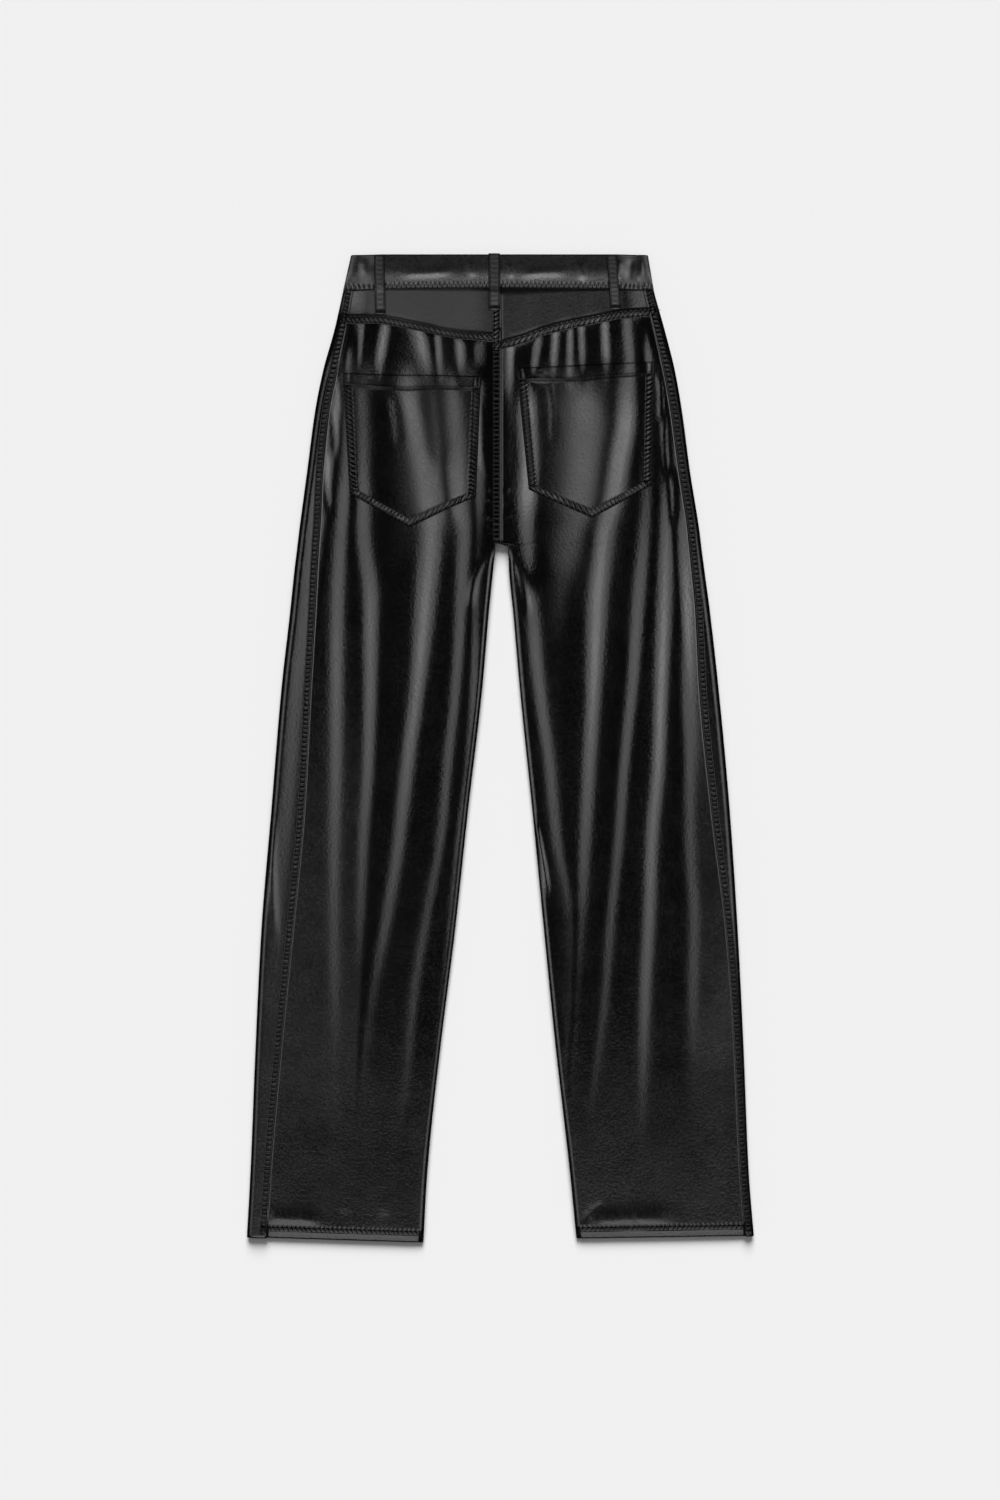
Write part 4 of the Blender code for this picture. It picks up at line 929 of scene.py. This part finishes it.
# Belt loops: node, x of the centre at the top and at the end, top, end, width, and for the back ones how
# much they are raised over the centre seam
loops = {
    "wall": 1.5, "arch": 1.1, "stand": 0.1, "curl": 0.35, "level": (36.0, 44.0), "rowAt": 0.36, "rowDip": 0.2,
    "back": {"loopBackLeft": ("loop_back_left", -134.0, -132.5, 1.6, 66.0, 10.5, 0.0),
             "loopBackCentre": ("loop_back_centre", -7.5, -7.0, 0.0, 61.5, 12.0, 1.65),
             "loopBackRight": ("loop_back_right", 121.5, 126.0, 1.6, 60.5, 10.5, 0.0)},
    "front": {"loopFrontLeft": ("loop_front_left", -104.0, -106.0, 1.6, 66.0, 10.5),
              "loopFrontRight": ("loop_front_right", 104.0, 106.0, 1.6, 66.0, 10.5)},
    "dull": 1.4, "puckers": 0.12, "bar": (0.915, 0.935), "barEnd": (0.98, 0.99),
    "backAlong": np.concatenate([[0.0, 0.008, 0.02], np.linspace(0.035, 0.965, 36), [0.98, 0.992, 1.0]]),
    "frontAlong": np.concatenate([[0.0, 0.01, 0.03], np.linspace(0.05, 0.95, 16), [0.97, 0.99, 1.0]]),
    "backAcross": np.array([-0.5, -0.47, -0.42, -0.36, -0.3, -0.15, 0.0, 0.15, 0.3, 0.36, 0.42, 0.47, 0.5]),
    "frontAcross": np.array([-0.5, -0.46, -0.4, -0.2, 0.0, 0.2, 0.4, 0.46, 0.5]),
}


def loopSpot(x, down, height):
    # a point of a loop in metres, from x instead of out
    spot = np.broadcast_arrays(x - garment["middle"], garment["length"] / 2 - down, height)
    return np.stack(spot, axis=-1) * mm


def loopSurface(name, part, across):
    # a strip over the waistband and the yoke, arched by sin(pi part) and curled down by (2 across)^4;
    # across runs from -0.5 to 0.5 of its width
    xTop, xEnd, top, end, wide, lap = loops["back"][name][1:]
    side = "left" if xTop < 0.0 else "right"
    down = top + (end - top) * part
    centre = xTop + (xEnd - xTop) * part
    seat = backHeight(side, np.abs(centre), down) + lap
    level = waistband["high"] + (seat - waistband["high"]) * smoothStep(*loops["level"], down)
    height = level + garment["gap"] + loops["stand"] + loops["wall"] + loops["arch"] * np.sin(np.pi * part)
    height = height - loops["curl"] * (2.0 * np.abs(across)) ** 4
    return loopSpot(centre + wide * across, down, height)


def backLoopPiece(name):
    # the loop's surface, dipped under its two stitch rows, with a bar across its lower end
    part, across = loops["backAlong"][:, None], loops["backAcross"][None, :]
    points = loopSurface(name, part, across)
    points[..., 2] -= rowDips(np.abs(across), [loops["rowAt"]], loops["rowDip"], 0.05) * mm
    flat = 1.0 - smoothStep(0.30, loops["rowAt"], np.abs(across))
    # painted shade along the stitch rows and the loop's edges; the bar across its lower end is a darker strip of
    # lower reflection
    fromMiddle = 10.0 * np.abs(across)
    paintedShade = np.maximum(paintedShadeLines(fromMiddle, 3.5, wide=0.35), paintedShadeLines(fromMiddle, 5.0, wide=0.7))
    paintedShade = np.maximum(paintedShade, smoothStep(*loops["bar"], part) * (1.0 - smoothStep(*loops["barEnd"], part)))
    piece = shell(name, points, -1.0, loops["wall"] - 0.1, loopLeather,
                  {"seamBand": loops["puckers"] * flat, "seamRun": 60.0 * part,
                   "paintedShade": seamLook["most"] * paintedShade, "dull": loops["dull"]})
    wear(piece, loops["back"][name][0])


def frontLoopPiece(name):
    # a flat strip on the surface
    node, xTop, xEnd, top, end, wide = loops["front"][name]
    part, across = loops["frontAlong"][:, None], loops["frontAcross"][None, :]
    points = loopSpot(xTop + (xEnd - xTop) * part + wide * across, top + (end - top) * part, 0.02)
    piece = shell(name, points, 1.0, loops["wall"] - 0.1, loopLeather,
                  {"seamBand": 0.0, "seamRun": 60.0 * part})
    wear(piece, node)


for name in loops["back"]:
    backLoopPiece(name)
for name in loops["front"]:
    frontLoopPiece(name)
print("belt loops laid")

for node, finish in (("fly_facing", flyLeather), ("zip", zipTape), ("button", buttonMetal)):
    piece = frame["nodes"][node]
    piece.data.materials.clear()
    piece.data.materials.append(finish)


# The thread: length and spacing of a stitch, its radius, and how deep it sits
thread = {"long": 2.7, "pitch": 3.6, "radius": 0.32, "sink": 0.10, "sides": (18, 90, 162, 234, 306)}


def surfaceAt(side, out, down, rise):
    # a point of the back and its outward direction, from the slopes a small step across and down
    step = 0.4
    here = place(side, out, down, upperHeight(side, out, down))
    acrossStep = place(side, out + step, down, upperHeight(side, out + step, down)) - here
    downStep = place(side, out, down + step, upperHeight(side, out, down + step)) - here
    outward = unit(np.cross(downStep, acrossStep))
    outward = outward * np.sign(outward[:, 2:3])
    rise = np.broadcast_to(rise, np.shape(out)).reshape(-1, 1)
    return here + outward * rise * mm, outward


def stitchPiece(name, paths):
    # small threads along each path, spaced by arc length: two rings of radius * (cos, sin) and two tips each
    made, radius = [], thread["radius"] * mm
    for points, outward in paths:
        run = np.concatenate([[0.0], np.cumsum(np.linalg.norm(np.diff(points, axis=0), axis=1))]) / mm
        middle = np.arange(0.5 * thread["pitch"], run[-1] - 0.4 * thread["pitch"], thread["pitch"])
        if len(middle) == 0:
            continue
        at = lambda where, values: np.stack([np.interp(where, run, values[:, k]) for k in range(3)], axis=-1)
        start, end = at(middle - 0.5 * thread["long"], points), at(middle + 0.5 * thread["long"], points)
        up, ahead = unit(at(middle, outward)), unit(end - start)
        aside = unit(np.cross(ahead, up))
        rings = [start - up * 1.2 * radius]
        for share in (0.2, 0.8):
            base = start + (end - start) * share + up * (0.5 * thread["radius"] - thread["sink"]) * mm
            rings += [base + radius * (np.cos(angle) * aside + np.sin(angle) * up)
                      for angle in np.radians(thread["sides"])]
        made.append(np.stack([*rings, end - up * 1.2 * radius], axis=1))
    beads = np.concatenate(made)
    bead = []
    for a, b in ((1, 2), (2, 3), (3, 4), (4, 5), (5, 1)):
        bead += [(0, b, a, a), (a, b, b + 5, a + 5), (11, a + 5, b + 5, b + 5)]
    faces = (np.array(bead)[None] + 12 * np.arange(len(beads))[:, None, None]).reshape(-1, 4)
    mesh = bpy.data.meshes.new(name)
    mesh.from_pydata(beads.reshape(-1, 3).tolist(), [], [f[:3] if f[2] == f[3] else f for f in faces.tolist()])
    mesh.shade_smooth()
    mesh.materials.append(threadBlack)
    piece = bpy.data.objects.new(name, mesh)
    bpy.context.scene.collection.objects.link(piece)
    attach(piece, "root")
    print(name, len(beads), "stitches")


def seamPaths(side):
    # two rows along the side seam, a row along the hem, and on the right two rows along the centre seam
    found = []
    low, top, hem = hemAtSide(side), yokeAtSide(side) + 0.5, garment["hem"]
    lap = garment["lapRise"] - garment["rowDip"]
    for offset in garment["seamRows"]:
        for start, end, count, extra in ((top, low - hem - 2.0, 900, 0.0),
                                         (low - hem + 0.5, low - 0.8, 12, garment["cloth"]),
                                         (garment["bandEdges"][1] + 1.0, top - 9.0, 60, 0.0)):
            down = np.linspace(start, end, count)
            found.append(surfaceAt(side, column(legShape, side, "seam", down) - offset, down, lap + extra))
    seam, inner = (float(column(legShape, side, name, low - hem)) for name in ("seam", "inner"))
    out = np.linspace(seam - 9.5, inner + 6.5, 200)
    found.append(surfaceAt(side, out, hemEdge(side, out) - hem + 0.6, 0.0))
    if side == "right":
        down = np.linspace(108.0, garment["crotch"] - 4.0, 260)
        found += [surfaceAt(side, column(legShape, side, "inner", down) + offset, down, lap)
                  for offset in garment["centreRows"]]
    return found


def yokePaths(side):
    # two rows along the yoke's lower edge, higher where they cross the side and centre laps
    seam, inner = (178.0, 2.6) if side == "left" else (175.0, -8.0)
    out = np.linspace(seam - 1.0, inner, 300)
    crossing = (out > seam - garment["seamBand"]) | ((side == "right") & (out < inner + garment["seamBand"]))
    rise = garment["lapRise"] * (1.0 + crossing) - garment["rowDip"]
    return [surfaceAt(side, out, yokeEdge(side, out) - offset, rise) for offset in garment["yokeRows"]]


def pocketPaths(side):
    # a row along the edge, a row inside it, and a row below the turned top
    paths = []
    for row, start in zip(pockets["rows"], (0.013, 0.10)):
        inset = row / pockets["size"]
        paths += [(np.full(80, inset), np.linspace(start, 1.0 - inset, 80)),
                  (np.linspace(inset, 1.0 - inset, 160), np.full(160, 1.0 - inset)),
                  (np.full(80, 1.0 - inset), np.linspace(1.0 - inset, start, 80))]
    paths.append((np.linspace(0.01, 0.99, 160), np.full(160, pockets["topRow"])))
    rise = pockets["rise"] - garment["rowDip"]
    return [surfaceAt(side, *pocketSpot(side, *path), rise + pocketTurn(path[1])) for path in paths]


def bandPaths(side):
    # along the top edge and just above the lower edge of the waistband, on its back
    found, low = [], garment["bandEdges"][1]
    for downAt in (waistband["top"] + waistband["topRow"], low - waistband["lowRow"]):
        edge = float(column(legShape, side, "edge", downAt)) - garment["rollShare"] * waistband["high"]
        out = np.linspace(sign[side] * garment["centreX"] + 2.0, edge, 160)
        down = downAt + (bandEdge(out) - low) * smoothStep(0.0, 1.0, downAt / low)
        fall = waistband["fall"] * smoothStep(waistband["fallFrom"], 1.0, downAt / low)
        fall = fall + waistband["endFall"] * smoothStep(-waistband["endWide"], 0.0, out - edge)
        points = place(side, out, down, waistband["high"] - waistband["rowDip"] - fall)
        found.append((points, np.tile([0.0, 0.0, 1.0], (len(out), 1))))
    return found


def loopPaths(name):
    # a row near each edge of a loop
    found, part = [], np.linspace(0.03, 0.97, 60)
    for across in (-loops["rowAt"], loops["rowAt"]):
        points = loopSurface(name, part, across)
        points[:, 2] -= loops["rowDip"] * mm
        found.append((points, np.tile([0.0, 0.0, 1.0], (len(part), 1))))
    return found


stitchPiece("stitchesBackLeft", seamPaths("left"))
stitchPiece("stitchesBackRight", seamPaths("right"))
stitchPiece("stitchesYokes", yokePaths("left") + yokePaths("right"))
stitchPiece("stitchesPockets", pocketPaths("left") + pocketPaths("right"))
stitchPiece("stitchesWaistband", bandPaths("left") + bandPaths("right"))
stitchPiece("stitchesLoops", [path for name in loops["back"] for path in loopPaths(name)])
print("stitches sewn")


# The studio: broad suns that black leather mirrors where it slopes by (tilt +- angle / 2) / 2, lights for
# the floor alone, and a camera straight above
studio = {
    "floorColour": (0.83, 0.83, 0.83), "floorSize": 12.0, "floorDown": 0.0003,
    "sideStrength": 0.95, "sideTilt": 36.0, "sideAngle": 46.0, "coreStrength": 0.28, "coreAngle": 20.0,
    "waistStrength": 4.7, "waistTilt": 55.0, "waistAngle": 36.0, "fillStrength": 0.51, "fillAngle": 90.0,
    "hemStrength": 0.8, "hemTilt": 32.0, "hemAngle": 36.0,
    "bandStrength": 1.5, "bandTilt": 26.0, "bandAngle": 30.0,
    "world": 0.012, "horizon": 0.25, "horizonSpan": (0.45, 0.15), "backdrop": 0.863,
    "distance": 3.0, "frameHigh": 1.65, "sensor": 36.0, "lookAt": (-0.0004, -0.0014, 0.01),
}
half = 0.5 * studio["floorSize"]
floorMesh = bpy.data.meshes.new("floor")
corners = [(x * half, y * half, -studio["floorDown"]) for x, y in ((-1, -1), (1, -1), (1, 1), (-1, 1))]
floorMesh.from_pydata(corners, [], [(0, 1, 2, 3)])
floor = bpy.data.objects.new("floor", floorMesh)
bpy.context.scene.collection.objects.link(floor)
floorPaint = bpy.data.materials.new("floorPaint")
floorPaint.use_nodes = True
floorShader = floorPaint.node_tree.nodes["Principled BSDF"]
floorShader.inputs["Base Color"].default_value = (*studio["floorColour"], 1.0)
floorShader.inputs["Roughness"].default_value = 0.9
floorShader.inputs["Specular IOR Level"].default_value = 0.0
floorMesh.materials.append(floorPaint)
floor.visible_glossy = False


def softSun(name, turn, strength, angle, receivers):
    # a sun turned by the given degrees, as wide as the angle, that lights one collection
    data = bpy.data.lights.new(name, "SUN")
    data.energy = strength
    data.angle = np.radians(angle)
    lamp = bpy.data.objects.new(name, data)
    lamp.rotation_euler = [np.radians(a) for a in turn]
    bpy.context.scene.collection.objects.link(lamp)
    lamp.light_linking.receiver_collection = receivers


onGarment, onFloor, onWaist = (bpy.data.collections.new(name) for name in ("onGarment", "onFloor", "onWaist"))
for item in bpy.context.scene.objects:
    if item.type == "MESH":
        (onFloor if item.name == "floor" else onGarment).objects.link(item)
        if item.name.startswith(("band", "yoke", "loop")):
            onWaist.objects.link(item)
for turn, label in ((-1, "Left"), (1, "Right")):
    tilt = (0, turn * studio["sideTilt"], 0)
    softSun("sideLight" + label, tilt, studio["sideStrength"], studio["sideAngle"], onGarment)
    softSun("coreLight" + label, tilt, studio["coreStrength"], studio["coreAngle"], onGarment)
softSun("waistLight", (-studio["waistTilt"], 0, 0), studio["waistStrength"], studio["waistAngle"], onFloor)
softSun("floorFill", (0, 0, 0), studio["fillStrength"], studio["fillAngle"], onFloor)
softSun("hemLight", (studio["hemTilt"], 0, 0), studio["hemStrength"], studio["hemAngle"], onGarment)
softSun("bandLight", (studio["bandTilt"], 0, 0), studio["bandStrength"], studio["bandAngle"], onWaist)

# the air: dark overhead, a pale band above the horizon, and the ground's own white behind everything
world = bpy.data.worlds.new("studioAir")
world.use_nodes = True
airTree, addNode, math = nodeTools(world)
upwards, band = addNode("ShaderNodeSeparateXYZ"), addNode("ShaderNodeMapRange")
airTree.links.new(addNode("ShaderNodeTexCoord").outputs["Generated"], upwards.inputs[0])
airTree.links.new(upwards.outputs["Z"], band.inputs["Value"])
band.inputs["From Min"].default_value, band.inputs["From Max"].default_value = studio["horizonSpan"]
band.inputs["To Min"].default_value = studio["world"]
band.inputs["To Max"].default_value = studio["horizon"]
lit = math("MULTIPLY", band.outputs[0], math("GREATER_THAN", upwards.outputs["Z"], 0.0))
seen = addNode("ShaderNodeLightPath").outputs["Is Camera Ray"]
unseen = math("MULTIPLY", lit, math("SUBTRACT", 1.0, seen))
background = airTree.nodes["Background"]
background.inputs["Color"].default_value = (1.0, 1.0, 1.0, 1.0)
brightness = math("ADD", unseen, math("MULTIPLY", seen, studio["backdrop"]))
airTree.links.new(brightness, background.inputs["Strength"])
bpy.context.scene.world = world
bpy.context.scene.view_settings.view_transform = "Standard"

cameraData = bpy.data.cameras.new("camera")
cameraData.sensor_fit = "VERTICAL"
cameraData.sensor_height = studio["sensor"]
cameraData.lens = studio["sensor"] * studio["distance"] / studio["frameHigh"]
cameraData.clip_end = 100.0
camera = bpy.data.objects.new("camera", cameraData)
camera.location = (studio["lookAt"][0], studio["lookAt"][1], studio["lookAt"][2] + studio["distance"])
bpy.context.scene.collection.objects.link(camera)
bpy.context.scene.camera = camera
print("studio set")
